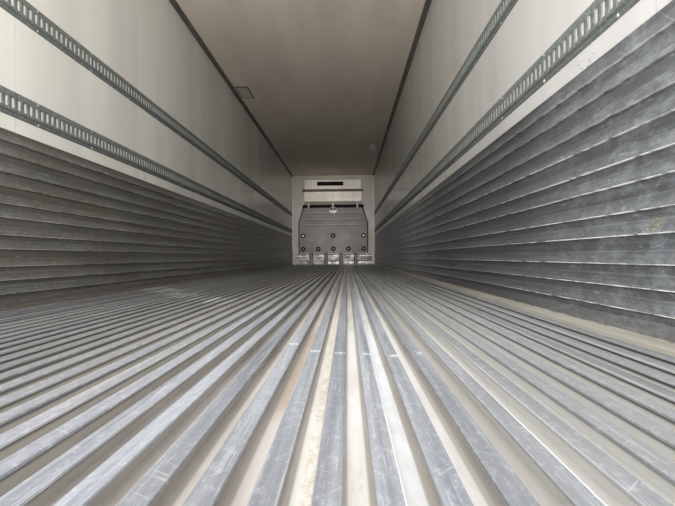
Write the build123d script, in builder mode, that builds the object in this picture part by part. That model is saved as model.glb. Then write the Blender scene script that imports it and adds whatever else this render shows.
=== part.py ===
from build123d import *
import os

# Refrigerated semi-trailer load box, off its running gear, rear doors swung open against the sides.
# Millimetres. +X to the right looking forward, +Y forward to the nose, +Z up.
# The origin is the middle of the overall box, on the plane that the base rails stand on.

# Box, outside
overall_width = 2591
body_length = 16154
corner_radius = 145
rail_skin = 3

# Walls, front wall and roof
wall_thickness = 54
front_wall_thickness = 100
roof_thickness = 60
inner_height = 2667

# Floor, from the base rail's flange up
crossmember_height = 102
crossmember_width = 57
crossmember_web = 6
crossmember_flange = 6
crossmember_pitch = 305
first_crossmember = 175
core_thickness = 75
deck_height = 32
deck_plate = 4
duct_rib_pitch = 60
duct_rib_count = 38
duct_rib_top_width = 28
duct_rib_top_thickness = 5
duct_rib_stem = 4
deck_edge_width = 82

# Rails
base_rail_height = 310
base_rail_web = 6
base_rail_flange_width = 60
top_rail_height = 150
top_rail_cap = 92

# Upper coupler
coupler_plate_thickness = 10
coupler_plate_length = 1280
coupler_front_setback = 146
kingpin_setback = 914
kingpin_bore_radius = 36.6

# Scuff liner: planks from the floor up, each with the heights of its ribs
scuff_sheet = 2
scuff_rib_depth = 8
scuff_rib_face = 36
scuff_rib_slope = 5
scuff_top_strip = 54
#             rib pitches
scuff_planks = ((63, 66, 67), (84, 68), (84, 68), (84, 68), (84, 68))

# Cargo tracks
track_height = 127
track_depth = 12.5
track_sheet = 2.5
track_flange = 20
track_slope = 6
track_lower = 1000
track_upper = 1504

# Ceiling
cove_width = 54
cove_drop = 20
lamp_length = 550
lamp_width = 185
lamp_drop = 8
#              side, gap to the wall, distance from the front wall
lamp_places = ((-1, 71, 8270), (1, 131, 4150))

# Return air bulkhead on the front wall
bulkhead_bottom = 344
bulkhead_shoulder = 1240
bulkhead_top = 1690
bulkhead_half_width = 1010
bulkhead_half_top = 875
bulkhead_thickness = 30
bulkhead_standoff = 85
bulkhead_lean = 45
bulkhead_corner = 35
groove_height = 22
groove_depth = 8
groove_half_length = 850
groove_levels = (1147, 1313, 1510)
cup_radius = 61
cup_depth = 12
#             level, places across
cup_rows = ((460, (-900, -450, 0, 450, 900)), (855, (-900, 0, 900)))
post_width = 105
post_places = (-660, -220, 220, 660)
kick_plate_height = 310
kick_plate_thickness = 5
bracket_width = 45
bracket_thickness = 16
bracket_places = (-730, 0, 730)
fixture_half_width = 115
fixture_half_height = 95
fixture_depth = 48
fixture_drop = 75

# Evaporator section, through the front wall: drops are from the ceiling
evaporator_half_width = 850
evaporator_upper_drop = 134
evaporator_upper_height = 288
evaporator_lip_height = 77
evaporator_lower_height = 292
evaporator_slope_height = 86
evaporator_reach = 120
evaporator_lip_reach = 150
evaporator_lip_overhang = 55
evaporator_edge = 15
evaporator_fit = 5
outlet_middle = -77
outlet_width = 780
outlet_height = 120
outlet_drop = 67
outlet_depth = 90
intake_half_width = 920
intake_height = 150
intake_depth = 120

# Refrigeration unit on the nose: its drop is from the top of the box
unit_depth = 430
unit_half_width = 960
unit_half_front = 860
unit_drop = 90
unit_height = 2020
unit_edge = 70
grille_half_width = 640
grille_rise = 140
grille_height = 720
grille_recess = 45
grille_slat = 10
grille_slat_drop = 34
grille_slat_count = 13
grille_frame = 40
grille_stand = 12

# Rear frame
frame_depth = 100
post_face = 60
header_height = 103

# Doors, given as they stand when they are shut
door_thickness = 70
door_proud = 5
door_edge_gap = 8
door_meeting_gap = 7
gasket_proud = 3
gasket_width = 25
gasket_setback = 40
pin_inset = 12
pin_offset = 70
pin_radius = 7
pin_clearance = 0.3
knuckle_radius = 14
knuckle_height = 50
knuckle_gap = 2
lug_thickness = 12
strap_thickness = 10
strap_reach = 220
strap_arm = 16
hinge_margin = 150
hinge_count = 4
door_open_angle = 270

# Lock rods
#            place from the door's hinged edge, way the handle points, level of the handle
lock_rods = ((300, -1, 980), (880, 1, 860))
rod_radius = 13
rod_standoff = 24
rod_over_frame = 62
rod_clearance = 0.3
cam_half_width = 14
cam_height = 40
cam_gap = 9
keeper_gap = 8
keeper_plate = 4
keeper_lug = 8
keeper_depth = 44
keeper_height = 60
guide_margin = 320
guide_count = 3
guide_width = 64
guide_height = 44
guide_wall = 6
handle_length = 400
handle_height = 30
handle_thickness = 8
handle_hub = 34
handle_hub_height = 60

# Bumpers and lamps: places on the sill are from the doors' hinged edges
bumper_place = 97
bumper_width = 110
bumper_height = 150
bumper_reach = 76
bumper_edge = 12
tail_lamp_places = (492, 628)
tail_lamp_radius = 52
tail_lamp_reach = 12
marker_length = 90
marker_height = 28
marker_reach = 16
header_marker_pitch = 180
header_marker_inset = 150
nose_marker_inset = 70
side_marker_setback = 500
side_marker_rear_setback = 2550

# Levels
core_bottom = rail_skin + crossmember_height
deck_bottom = core_bottom + core_thickness
floor_top = deck_bottom + deck_height
ceiling = floor_top + inner_height
roof_top = ceiling + roof_thickness
body_top = roof_top + rail_skin
door_bottom = floor_top + door_edge_gap
header_bottom = body_top - header_height
door_top = header_bottom - door_edge_gap
evaporator_upper_top = ceiling - evaporator_upper_drop
evaporator_upper_bottom = evaporator_upper_top - evaporator_upper_height
evaporator_lower_top = evaporator_upper_bottom - evaporator_lip_height
evaporator_lower_face = evaporator_lower_top - evaporator_lower_height
evaporator_lower_bottom = evaporator_lower_face - evaporator_slope_height
unit_bottom = body_top - unit_drop - unit_height
grille_middle = unit_bottom + grille_rise + grille_height / 2

# Across
half_width = overall_width / 2
skin_x = half_width - rail_skin
liner_x = skin_x - wall_thickness
corner_x = half_width - corner_radius
post_x = half_width - post_face
rail_web_x = skin_x - base_rail_web

# Along
rear_reach = pin_offset + door_proud + knuckle_radius
rear_y = rear_reach - (rear_reach + body_length + unit_depth) / 2
front_y = rear_y + body_length
frame_front = rear_y + frame_depth
corner_y = front_y - corner_radius
front_inner = front_y - front_wall_thickness
side_length = corner_y - frame_front
inner_length = front_inner - frame_front
bulkhead_back = front_inner - bulkhead_standoff

# Door hinge
door_outer = rear_y - door_proud
door_inner = door_outer + door_thickness
door_edge_x = post_x - door_edge_gap
pin_x = half_width - pin_inset
pin_y = door_outer - pin_offset
hinge_axis = Axis((pin_x, pin_y, 0), (0, 0, 1))
hinge_pitch = (door_top - door_bottom - 2 * hinge_margin) / (hinge_count - 1)
hinge_levels = [door_bottom + hinge_margin + index * hinge_pitch for index in range(hinge_count)]
guide_pitch = (door_top - door_bottom - 2 * guide_margin) / (guide_count - 1)
guide_levels = [door_bottom + guide_margin + index * guide_pitch for index in range(guide_count)]

pieces = {}


# Deck: a plate with T ribs, and a flat plank along each wall
with BuildPart() as floor_deck:
    with BuildSketch(Plane.XZ.offset(-front_inner)):
        with Locations((0, deck_bottom + deck_plate / 2)):
            Rectangle(2 * liner_x, deck_plate)
        with Locations((0, (deck_bottom + floor_top) / 2)):
            with GridLocations(duct_rib_pitch, 1, duct_rib_count, 1):
                Rectangle(duct_rib_stem, deck_height)
        with Locations((0, floor_top - duct_rib_top_thickness / 2)):
            with GridLocations(duct_rib_pitch, 1, duct_rib_count, 1):
                Rectangle(duct_rib_top_width, duct_rib_top_thickness)
            with Locations((liner_x - deck_edge_width / 2, 0), (deck_edge_width / 2 - liner_x, 0)):
                Rectangle(deck_edge_width, duct_rib_top_thickness)
        edge_leg_x = liner_x - deck_edge_width + duct_rib_stem / 2
        deck_middle = (deck_bottom + floor_top) / 2
        with Locations((edge_leg_x, deck_middle), (-edge_leg_x, deck_middle)):
            Rectangle(duct_rib_stem, deck_height)
    extrude(amount=inner_length)
pieces["floor_deck"] = floor_deck

with BuildPart() as floor_core:
    with BuildSketch(Plane.XZ.offset(-front_inner)):
        with Locations((0, core_bottom + core_thickness / 2)):
            Rectangle(2 * liner_x, core_thickness)
    extrude(amount=inner_length)
pieces["floor_core"] = floor_core

# Upper coupler plate, flush between the base rails, with the hole that takes the kingpin
with BuildPart() as coupler_plate:
    with BuildSketch(Plane.XY.offset(rail_skin)):
        with Locations((0, front_y - coupler_front_setback - coupler_plate_length / 2)):
            Rectangle(2 * rail_web_x, coupler_plate_length)
        with Locations((0, front_y - kingpin_setback)):
            Circle(kingpin_bore_radius, mode=Mode.SUBTRACT)
    extrude(amount=coupler_plate_thickness)
pieces["coupler_plate"] = coupler_plate

# Crossmembers: I beams on the base rails' flanges, shallower where they stand on the coupler plate
coupler_rear = front_y - coupler_front_setback - coupler_plate_length
crossmember_room = body_length - frame_depth - first_crossmember - crossmember_width / 2
crossmember_count = int(crossmember_room / crossmember_pitch) + 1
with BuildPart() as crossmembers:
    for index in range(crossmember_count):
        beam_y = front_y - first_crossmember - index * crossmember_pitch
        beam_bottom = rail_skin + (coupler_plate_thickness if beam_y > coupler_rear else 0)
        with BuildSketch(Plane.YZ.offset(-rail_web_x)):
            with Locations((beam_y, (beam_bottom + core_bottom) / 2)):
                Rectangle(crossmember_web, core_bottom - beam_bottom)
            for flange_z in (beam_bottom + crossmember_flange / 2, core_bottom - crossmember_flange / 2):
                with Locations((beam_y, flange_z)):
                    Rectangle(crossmember_width, crossmember_flange)
        extrude(amount=2 * rail_web_x)
pieces["crossmembers"] = crossmembers

# Base rail: a skin over the foot of the wall, a web, and a flange under the crossmembers
with BuildPart() as base_rail_right:
    with BuildSketch(Plane.XZ.offset(-corner_y)):
        with BuildLine():
            Polyline(
                (half_width, 0),
                (half_width, base_rail_height),
                (skin_x, base_rail_height),
                (skin_x, core_bottom),
                (rail_web_x, core_bottom),
                (rail_web_x, rail_skin),
                (rail_web_x - base_rail_flange_width, rail_skin),
                (rail_web_x - base_rail_flange_width, 0),
                close=True,
            )
        make_face()
    extrude(amount=side_length)
pieces["base_rail_right"] = base_rail_right

with BuildPart() as side_wall_right:
    with BuildSketch(Plane.XZ.offset(-corner_y)):
        with Locations(((liner_x + skin_x) / 2, (core_bottom + roof_top) / 2)):
            Rectangle(wall_thickness, roof_top - core_bottom)
    extrude(amount=side_length)
pieces["side_wall_right"] = side_wall_right

# Top rail: an angle over the upper edge of the wall and the edge of the roof
with BuildPart() as top_rail_right:
    with BuildSketch(Plane.XZ.offset(-corner_y)):
        with BuildLine():
            Polyline(
                (half_width, body_top),
                (half_width, body_top - top_rail_height),
                (skin_x, body_top - top_rail_height),
                (skin_x, roof_top),
                (half_width - top_rail_cap, roof_top),
                (half_width - top_rail_cap, body_top),
                close=True,
            )
        make_face()
    extrude(amount=side_length)
pieces["top_rail_right"] = top_rail_right

with BuildPart() as roof:
    with BuildSketch(Plane.XZ.offset(-front_inner)):
        with Locations((0, (ceiling + roof_top) / 2)):
            Rectangle(2 * liner_x, roof_thickness)
    extrude(amount=inner_length)
pieces["roof"] = roof

# Front wall, cut for the evaporator section and for the air intake under it
with BuildPart() as front_wall:
    with BuildSketch(Plane.XZ.offset(-front_y + rail_skin)):
        with Locations((0, (core_bottom + roof_top) / 2)):
            Rectangle(2 * corner_x, roof_top - core_bottom)
        with Locations((0, (evaporator_upper_bottom + evaporator_upper_top) / 2)):
            Rectangle(
                2 * (evaporator_half_width + evaporator_fit),
                evaporator_upper_height + 2 * evaporator_fit,
                mode=Mode.SUBTRACT,
            )
        with Locations((0, evaporator_lower_bottom - intake_height / 2)):
            Rectangle(2 * intake_half_width, intake_height, mode=Mode.SUBTRACT)
    extrude(amount=front_wall_thickness - rail_skin)
pieces["front_wall"] = front_wall

# Front corner post, rounded outside and square inside
with BuildPart() as corner_post_right:
    with BuildSketch():
        with BuildLine():
            RadiusArc((corner_x, front_y), (half_width, corner_y), corner_radius)
            Polyline(
                (half_width, corner_y),
                (liner_x, corner_y),
                (liner_x, front_inner),
                (corner_x, front_inner),
                (corner_x, front_y),
            )
        make_face()
    extrude(amount=body_top)
pieces["corner_post_right"] = corner_post_right

# Front rails: one under the front wall and one over it
with BuildPart() as front_rails:
    with BuildSketch(Plane.YZ.offset(-corner_x)):
        with BuildLine():
            Polyline(
                (front_y, 0),
                (front_y, base_rail_height),
                (front_y - rail_skin, base_rail_height),
                (front_y - rail_skin, core_bottom),
                (front_inner, core_bottom),
                (front_inner, 0),
                close=True,
            )
        make_face()
        with BuildLine():
            Polyline(
                (front_y, body_top),
                (front_y, body_top - top_rail_height),
                (front_y - rail_skin, body_top - top_rail_height),
                (front_y - rail_skin, roof_top),
                (corner_y, roof_top),
                (corner_y, body_top),
                close=True,
            )
        make_face()
    extrude(amount=2 * corner_x)
pieces["front_rails"] = front_rails

# Scuff liner: from each rib's lip up, a proud face, a slope back and a recessed face
scuff_x = liner_x - scuff_sheet
rib_x = scuff_x - scuff_rib_depth
scuff_profile = [(liner_x, floor_top)]
lip = floor_top
for rib_pitch in (pitch for plank in scuff_planks for pitch in plank):
    scuff_profile.append((rib_x, lip))
    scuff_profile.append((rib_x, lip + scuff_rib_face))
    scuff_profile.append((scuff_x, lip + scuff_rib_face + scuff_rib_slope))
    scuff_profile.append((scuff_x, lip + rib_pitch))
    lip += rib_pitch
scuff_profile.append((rib_x, lip))
scuff_profile.append((rib_x, lip + scuff_top_strip))
scuff_profile.append((liner_x, lip + scuff_top_strip))
with BuildPart() as scuff_liner_right:
    with BuildSketch(Plane.XZ.offset(-front_inner)):
        with BuildLine():
            Polyline(*scuff_profile, close=True)
        make_face()
    extrude(amount=inner_length)
pieces["scuff_liner_right"] = scuff_liner_right

# Cargo tracks: hat sections, open behind
track_half = track_height / 2
track_crown = track_half - track_flange
tracks = {}
for level_name, level in (("lower", track_lower), ("upper", track_upper)):
    track_z = floor_top + level
    outer_line = [
        (liner_x, track_z - track_half),
        (liner_x - track_sheet, track_z - track_half),
        (liner_x - track_sheet, track_z - track_crown - track_slope),
        (liner_x - track_depth, track_z - track_crown),
        (liner_x - track_depth, track_z + track_crown),
        (liner_x - track_sheet, track_z + track_crown + track_slope),
        (liner_x - track_sheet, track_z + track_half),
        (liner_x, track_z + track_half),
    ]
    inner_line = [
        (liner_x, track_z + track_crown + track_slope - track_sheet),
        (liner_x - track_depth + track_sheet, track_z + track_crown - track_sheet),
        (liner_x - track_depth + track_sheet, track_z - track_crown + track_sheet),
        (liner_x, track_z - track_crown - track_slope + track_sheet),
    ]
    with BuildPart() as cargo_track:
        with BuildSketch(Plane.XZ.offset(-front_inner)):
            with BuildLine():
                Polyline(*outer_line, *inner_line, close=True)
            make_face()
        extrude(amount=inner_length)
    tracks[level_name] = cargo_track
    pieces[f"cargo_track_{level_name}_right"] = cargo_track

# Coves in the corners between the walls and the ceiling
with BuildPart() as coves:
    with BuildSketch(Plane.XZ.offset(-front_inner)):
        for side in (1, -1):
            with BuildLine():
                Polyline(
                    (side * liner_x, ceiling),
                    (side * (liner_x - cove_width), ceiling),
                    (side * liner_x, ceiling - cove_drop),
                    close=True,
                )
            make_face()
    extrude(amount=inner_length)
pieces["coves"] = coves

# Ceiling lamps
with BuildPart() as ceiling_lamps:
    with BuildSketch(Plane.XY.offset(ceiling)):
        for side, lamp_gap, lamp_setback in lamp_places:
            lamp_x = side * (liner_x - lamp_gap - lamp_width / 2)
            with Locations((lamp_x, front_inner - lamp_setback)):
                Rectangle(lamp_width, lamp_length)
    extrude(amount=-lamp_drop)
pieces["ceiling_lamps"] = ceiling_lamps

# Bulkhead: a bent plate seen from the side, with the tapered outline seen from the rear
bulkhead_front = bulkhead_back - bulkhead_thickness
with BuildPart() as bulkhead:
    with BuildSketch(Plane.YZ.offset(-bulkhead_half_width)):
        with BuildLine():
            Polyline(
                (bulkhead_front, floor_top + bulkhead_bottom),
                (bulkhead_front, floor_top + bulkhead_shoulder),
                (bulkhead_front + bulkhead_lean, floor_top + bulkhead_top),
                (bulkhead_back + bulkhead_lean, floor_top + bulkhead_top),
                (bulkhead_back, floor_top + bulkhead_shoulder),
                (bulkhead_back, floor_top + bulkhead_bottom),
                close=True,
            )
        make_face()
    extrude(amount=2 * bulkhead_half_width)
    with BuildSketch(Plane.XZ.offset(-front_inner)) as bulkhead_outline:
        with BuildLine():
            Polyline(
                (-bulkhead_half_width, floor_top + bulkhead_bottom),
                (-bulkhead_half_width, floor_top + bulkhead_shoulder),
                (-bulkhead_half_top, floor_top + bulkhead_top),
                (bulkhead_half_top, floor_top + bulkhead_top),
                (bulkhead_half_width, floor_top + bulkhead_shoulder),
                (bulkhead_half_width, floor_top + bulkhead_bottom),
                close=True,
            )
        make_face()
        fillet(bulkhead_outline.vertices(), bulkhead_corner)
    extrude(amount=front_wall_thickness + bulkhead_standoff + bulkhead_thickness, mode=Mode.INTERSECT)
    for level in groove_levels:
        lean = max(0, level - bulkhead_shoulder) / (bulkhead_top - bulkhead_shoulder) * bulkhead_lean
        with BuildSketch(Plane.XZ.offset(-bulkhead_front - lean - groove_depth)):
            with Locations((0, floor_top + level)):
                SlotOverall(2 * groove_half_length, groove_height)
        extrude(amount=groove_depth + bulkhead_lean, mode=Mode.SUBTRACT)
    with BuildSketch(Plane.XZ.offset(-bulkhead_front - cup_depth)):
        for level, places in cup_rows:
            for place in places:
                with Locations((place, floor_top + level)):
                    Circle(cup_radius)
    extrude(amount=cup_depth, mode=Mode.SUBTRACT)
pieces["bulkhead"] = bulkhead

# Posts that carry the bulkhead off the front wall
with BuildPart() as bulkhead_posts:
    with BuildSketch(Plane.XY.offset(floor_top)):
        for place in post_places:
            with Locations((place, (bulkhead_back + front_inner) / 2)):
                Rectangle(post_width, bulkhead_standoff)
    extrude(amount=bulkhead_shoulder)
pieces["bulkhead_posts"] = bulkhead_posts

# Kick plates on the front wall, between the posts
with BuildPart() as kick_plate:
    with BuildSketch(Plane.XZ.offset(-front_inner)):
        with Locations((0, floor_top + kick_plate_height / 2)):
            Rectangle(2 * corner_x, kick_plate_height)
            with Locations(*[(place, 0) for place in post_places]):
                Rectangle(post_width, kick_plate_height, mode=Mode.SUBTRACT)
    extrude(amount=kick_plate_thickness)
pieces["kick_plate"] = kick_plate

# Fittings at the bulkhead's upper edge: an oval housing, and brackets up to the evaporator section
bulkhead_edge_z = floor_top + bulkhead_top
fixture_z = bulkhead_edge_z - fixture_drop
bracket_y = bulkhead_back + bulkhead_lean - bulkhead_thickness / 2
slope = evaporator_slope_height / evaporator_reach
with BuildPart() as bulkhead_fittings:
    with BuildSketch(Plane.XZ.offset(-bulkhead_front - bulkhead_lean)):
        with Locations((0, fixture_z)):
            SlotOverall(2 * fixture_half_width, 2 * fixture_half_height)
    extrude(amount=fixture_depth + bulkhead_lean)
    add(bulkhead.part, mode=Mode.SUBTRACT)
    for place in bracket_places:
        with BuildSketch(Plane.YZ.offset(place - bracket_width / 2)):
            with BuildLine():
                Polyline(
                    (bracket_y - bracket_thickness / 2, bulkhead_edge_z),
                    (
                        bracket_y - bracket_thickness / 2,
                        evaporator_lower_bottom + slope * (front_inner - bracket_y + bracket_thickness / 2),
                    ),
                    (
                        bracket_y + bracket_thickness / 2,
                        evaporator_lower_bottom + slope * (front_inner - bracket_y - bracket_thickness / 2),
                    ),
                    (bracket_y + bracket_thickness / 2, bulkhead_edge_z),
                    close=True,
                )
            make_face()
        extrude(amount=bracket_width)
pieces["bulkhead_fittings"] = bulkhead_fittings

# Evaporator section, upper housing: runs through the front wall, with the air outlet cut in its face
evaporator_face = front_inner - evaporator_reach
with BuildPart() as evaporator_upper:
    with BuildSketch(Plane.XZ.offset(-front_y)):
        with Locations((0, (evaporator_upper_bottom + evaporator_upper_top) / 2)):
            Rectangle(2 * evaporator_half_width, evaporator_upper_height)
    extrude(amount=front_wall_thickness + evaporator_reach)
    chamfer(evaporator_upper.faces().sort_by(Axis.Y)[0].edges(), evaporator_edge)
    with BuildSketch(Plane.XZ.offset(-evaporator_face)):
        with Locations((outlet_middle, evaporator_upper_top - outlet_drop - outlet_height / 2)):
            Rectangle(outlet_width, outlet_height)
    extrude(amount=-outlet_depth, mode=Mode.SUBTRACT)
pieces["evaporator_upper"] = evaporator_upper

# Evaporator section, lower housing: a sloped underside, a face, and the lip under the upper housing
with BuildPart() as evaporator_lower:
    with BuildSketch(Plane.YZ.offset(-evaporator_half_width)):
        with BuildLine():
            Polyline(
                (front_inner, evaporator_lower_bottom),
                (evaporator_face, evaporator_lower_face),
                (evaporator_face, evaporator_lower_top),
                (front_inner, evaporator_lower_top),
                close=True,
            )
        make_face()
    extrude(amount=2 * evaporator_half_width)
    with BuildSketch(Plane.YZ.offset(-evaporator_half_width - evaporator_lip_overhang)):
        with BuildLine():
            Polyline(
                (front_inner, evaporator_lower_top),
                (front_inner - evaporator_lip_reach, evaporator_lower_top),
                (evaporator_face, evaporator_upper_bottom),
                (front_inner, evaporator_upper_bottom),
                close=True,
            )
        make_face()
    extrude(amount=2 * (evaporator_half_width + evaporator_lip_overhang))
pieces["evaporator_lower"] = evaporator_lower

# Refrigeration unit: a moulded cover, narrower towards its face, recessed for the grille and the intake
unit_front = front_y + unit_depth
with BuildPart() as unit_housing:
    with BuildSketch(Plane.XY.offset(unit_bottom)):
        with BuildLine():
            Polyline(
                (-unit_half_width, front_y),
                (-unit_half_front, unit_front),
                (unit_half_front, unit_front),
                (unit_half_width, front_y),
                close=True,
            )
        make_face()
    extrude(amount=unit_height)
    fillet(unit_housing.faces().sort_by(Axis.Y)[-1].edges(), unit_edge)
    with BuildSketch(Plane.XZ.offset(-unit_front)):
        with Locations((0, grille_middle)):
            Rectangle(2 * grille_half_width, grille_height)
    extrude(amount=grille_recess, mode=Mode.SUBTRACT)
    with BuildSketch(Plane.XZ.offset(-front_y)):
        with Locations((0, evaporator_lower_bottom - intake_height / 2)):
            Rectangle(2 * intake_half_width, intake_height)
    extrude(amount=-intake_depth, mode=Mode.SUBTRACT)
pieces["unit_housing"] = unit_housing

# Grille: a frame in the recess, with sloped slats
grille_inner_height = grille_height - 2 * grille_frame
slat_pitch = grille_inner_height / grille_slat_count
grille_back = unit_front - grille_recess
with BuildPart() as unit_grille:
    with BuildSketch(Plane.XZ.offset(-grille_back)):
        with Locations((0, grille_middle)):
            Rectangle(2 * grille_half_width, grille_height)
            Rectangle(
                2 * (grille_half_width - grille_frame),
                grille_inner_height,
                mode=Mode.SUBTRACT,
            )
    extrude(amount=-(grille_recess - grille_stand))
    with BuildSketch(Plane.YZ.offset(grille_frame - grille_half_width)):
        for index in range(grille_slat_count):
            slat_z = grille_middle - grille_inner_height / 2 + (index + 0.5) * slat_pitch
            with BuildLine():
                Polyline(
                    (grille_back, slat_z + grille_slat_drop / 2),
                    (grille_back, slat_z + grille_slat_drop / 2 - grille_slat),
                    (unit_front - grille_stand, slat_z - grille_slat_drop / 2),
                    (unit_front - grille_stand, slat_z - grille_slat_drop / 2 + grille_slat),
                    close=True,
                )
            make_face()
    extrude(amount=2 * (grille_half_width - grille_frame))
pieces["unit_grille"] = unit_grille

# Rear frame: two posts and a header
with BuildPart() as rear_frame:
    with BuildSketch(Plane.XZ.offset(-frame_front)):
        with Locations((0, (floor_top + body_top) / 2)):
            Rectangle(overall_width, body_top - floor_top)
        with Locations((0, (floor_top + header_bottom) / 2)):
            Rectangle(2 * post_x, header_bottom - floor_top, mode=Mode.SUBTRACT)
    extrude(amount=frame_depth)
pieces["rear_frame"] = rear_frame

with BuildPart() as rear_sill:
    with BuildSketch(Plane.XZ.offset(-frame_front)):
        with Locations((0, floor_top / 2)):
            Rectangle(overall_width, floor_top)
    extrude(amount=frame_depth)
pieces["rear_sill"] = rear_sill

with BuildPart() as dock_bumpers:
    with BuildSketch(Plane.XZ.offset(-rear_y)):
        bumper_x = door_edge_x - bumper_place
        with Locations((bumper_x, floor_top / 2), (-bumper_x, floor_top / 2)):
            Rectangle(bumper_width, bumper_height)
    extrude(amount=bumper_reach)
    chamfer(dock_bumpers.faces().group_by(Axis.Y)[0].edges(), bumper_edge)
pieces["dock_bumpers"] = dock_bumpers

# Lamps: round ones in the sill, small markers on the header, the nose and the base rails
header_marker_x = half_width - header_marker_inset
header_marker_places = (-header_marker_x, -header_marker_pitch, 0, header_marker_pitch, header_marker_x)
nose_marker_x = corner_x - nose_marker_inset
side_marker_places = (
    front_y - side_marker_setback,
    (front_y + rear_y) / 2,
    rear_y + side_marker_rear_setback,
)
with BuildPart() as lamps:
    with BuildSketch(Plane.XZ.offset(-rear_y)):
        for place in header_marker_places:
            with Locations((place, (header_bottom + body_top) / 2)):
                Rectangle(marker_length, marker_height)
    extrude(amount=marker_reach)
    with BuildSketch(Plane.XZ.offset(-front_y)):
        for place in (-nose_marker_x, nose_marker_x):
            with Locations((place, body_top - top_rail_height / 2)):
                Rectangle(marker_length, marker_height)
    extrude(amount=-marker_reach)
    for side in (1, -1):
        with BuildSketch(Plane.YZ.offset(side * half_width)):
            for place in side_marker_places:
                with Locations((place, base_rail_height / 2)):
                    Rectangle(marker_length, marker_height)
        extrude(amount=side * marker_reach)
    with BuildSketch(Plane.XZ.offset(-rear_y)):
        for place in tail_lamp_places:
            lamp_x = door_edge_x - place
            with Locations((lamp_x, floor_top / 2), (-lamp_x, floor_top / 2)):
                Circle(tail_lamp_radius)
    extrude(amount=tail_lamp_reach)
pieces["lamps"] = lamps

# Rear door, right hand, built as it stands when shut
door_width = door_edge_x - door_meeting_gap
door_middle_x = (door_edge_x + door_meeting_gap) / 2
door_middle_z = (door_bottom + door_top) / 2
with BuildPart() as shut_panel:
    with BuildSketch(Plane.XZ.offset(-door_inner)):
        with Locations((door_middle_x, door_middle_z)):
            Rectangle(door_width, door_top - door_bottom)
    extrude(amount=door_thickness)

with BuildPart() as shut_gasket:
    with BuildSketch(Plane.XZ.offset(-door_outer - gasket_setback - gasket_width)):
        with Locations((door_middle_x, door_middle_z)):
            Rectangle(door_width + 2 * gasket_proud, door_top - door_bottom + 2 * gasket_proud)
            Rectangle(door_width, door_top - door_bottom, mode=Mode.SUBTRACT)
    extrude(amount=gasket_width)

# Door half of each hinge: a knuckle on the pin, an arm, and a strap across the door
with BuildPart() as shut_hinges:
    strap_end_x = pin_x + strap_arm / 2
    strap_length = strap_end_x - door_edge_x + strap_reach
    for level in hinge_levels:
        with BuildSketch(Plane.XY.offset(level - knuckle_height / 2)):
            with Locations((pin_x, pin_y)):
                Circle(knuckle_radius)
            with Locations((pin_x, pin_y + pin_offset / 2)):
                Rectangle(strap_arm, pin_offset)
            with Locations((strap_end_x - strap_length / 2, door_outer - strap_thickness / 2)):
                Rectangle(strap_length, strap_thickness)
            with Locations((pin_x, pin_y)):
                Circle(pin_radius + pin_clearance, mode=Mode.SUBTRACT)
        extrude(amount=knuckle_height)

# Lock rods, each with a cam at both ends and a handle
rod_y = door_outer - rod_standoff
cam_levels = (floor_top - rod_over_frame + cam_height / 2, header_bottom + rod_over_frame - cam_height / 2)
with BuildPart() as shut_rods:
    for place, handle_way, handle_level in lock_rods:
        rod_x = door_edge_x - place
        with BuildSketch(Plane.XY.offset(floor_top - rod_over_frame)):
            with Locations((rod_x, rod_y)):
                Circle(rod_radius)
        extrude(amount=header_bottom - floor_top + 2 * rod_over_frame)
        for cam_level in cam_levels:
            with BuildSketch(Plane.XY.offset(cam_level - cam_height / 2)):
                with Locations((rod_x, (rod_y - rod_radius + rear_y - cam_gap) / 2)):
                    Rectangle(2 * cam_half_width, rear_y - cam_gap - rod_y + rod_radius)
            extrude(amount=cam_height)
        with BuildSketch(Plane.XY.offset(floor_top + handle_level - handle_hub_height / 2)):
            with Locations((rod_x, rod_y)):
                Rectangle(handle_hub, handle_hub)
        extrude(amount=handle_hub_height)
        with BuildSketch(Plane.XY.offset(floor_top + handle_level - handle_height / 2)):
            with Locations((rod_x + handle_way * handle_length / 2, rod_y)):
                Rectangle(handle_length, handle_thickness)
        extrude(amount=handle_height)

# Guides that hold the rods to the door, each with a square channel round the rod
guide_channel = 2 * (rod_radius + rod_clearance)
with BuildPart() as shut_guides:
    for level in guide_levels:
        with BuildSketch(Plane.XY.offset(level - guide_height / 2)):
            for place, _, _ in lock_rods:
                rod_x = door_edge_x - place
                with Locations((rod_x, (rod_y - rod_radius - guide_wall + door_outer) / 2)):
                    Rectangle(guide_width, rod_standoff + rod_radius + guide_wall)
                with Locations((rod_x, rod_y)):
                    Rectangle(guide_channel, guide_channel, mode=Mode.SUBTRACT)
        extrude(amount=guide_height)

# The door stands open, swung round against the side wall
for piece_name, shut_piece in (
    ("panel", shut_panel),
    ("gasket", shut_gasket),
    ("hinges", shut_hinges),
    ("rods", shut_rods),
    ("guides", shut_guides),
):
    with BuildPart() as open_piece:
        add(shut_piece.part.rotate(hinge_axis, door_open_angle))
    pieces[f"door_{piece_name}_right"] = open_piece

# Frame half of each hinge: two lugs with bevelled corners, and the pin through them
with BuildPart() as hinge_lugs:
    for side in (1, -1):
        for level in hinge_levels:
            lug_bottom = level - knuckle_height / 2 - knuckle_gap - lug_thickness
            lug_top = level + knuckle_height / 2 + knuckle_gap
            for lug_z in (lug_bottom, lug_top):
                with BuildSketch(Plane.XY.offset(lug_z)) as lug_outline:
                    with Locations((side * pin_x, (pin_y - knuckle_radius + rear_y) / 2)):
                        Rectangle(2 * pin_inset, rear_y - pin_y + knuckle_radius)
                    chamfer(lug_outline.vertices().group_by(Axis.Y)[0], knuckle_radius / 2)
                extrude(amount=lug_thickness)
            with BuildSketch(Plane.XY.offset(lug_bottom + lug_thickness)):
                with Locations((side * pin_x, pin_y)):
                    Circle(pin_radius)
            extrude(amount=lug_top - lug_bottom - lug_thickness)
pieces["hinge_lugs"] = hinge_lugs

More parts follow.
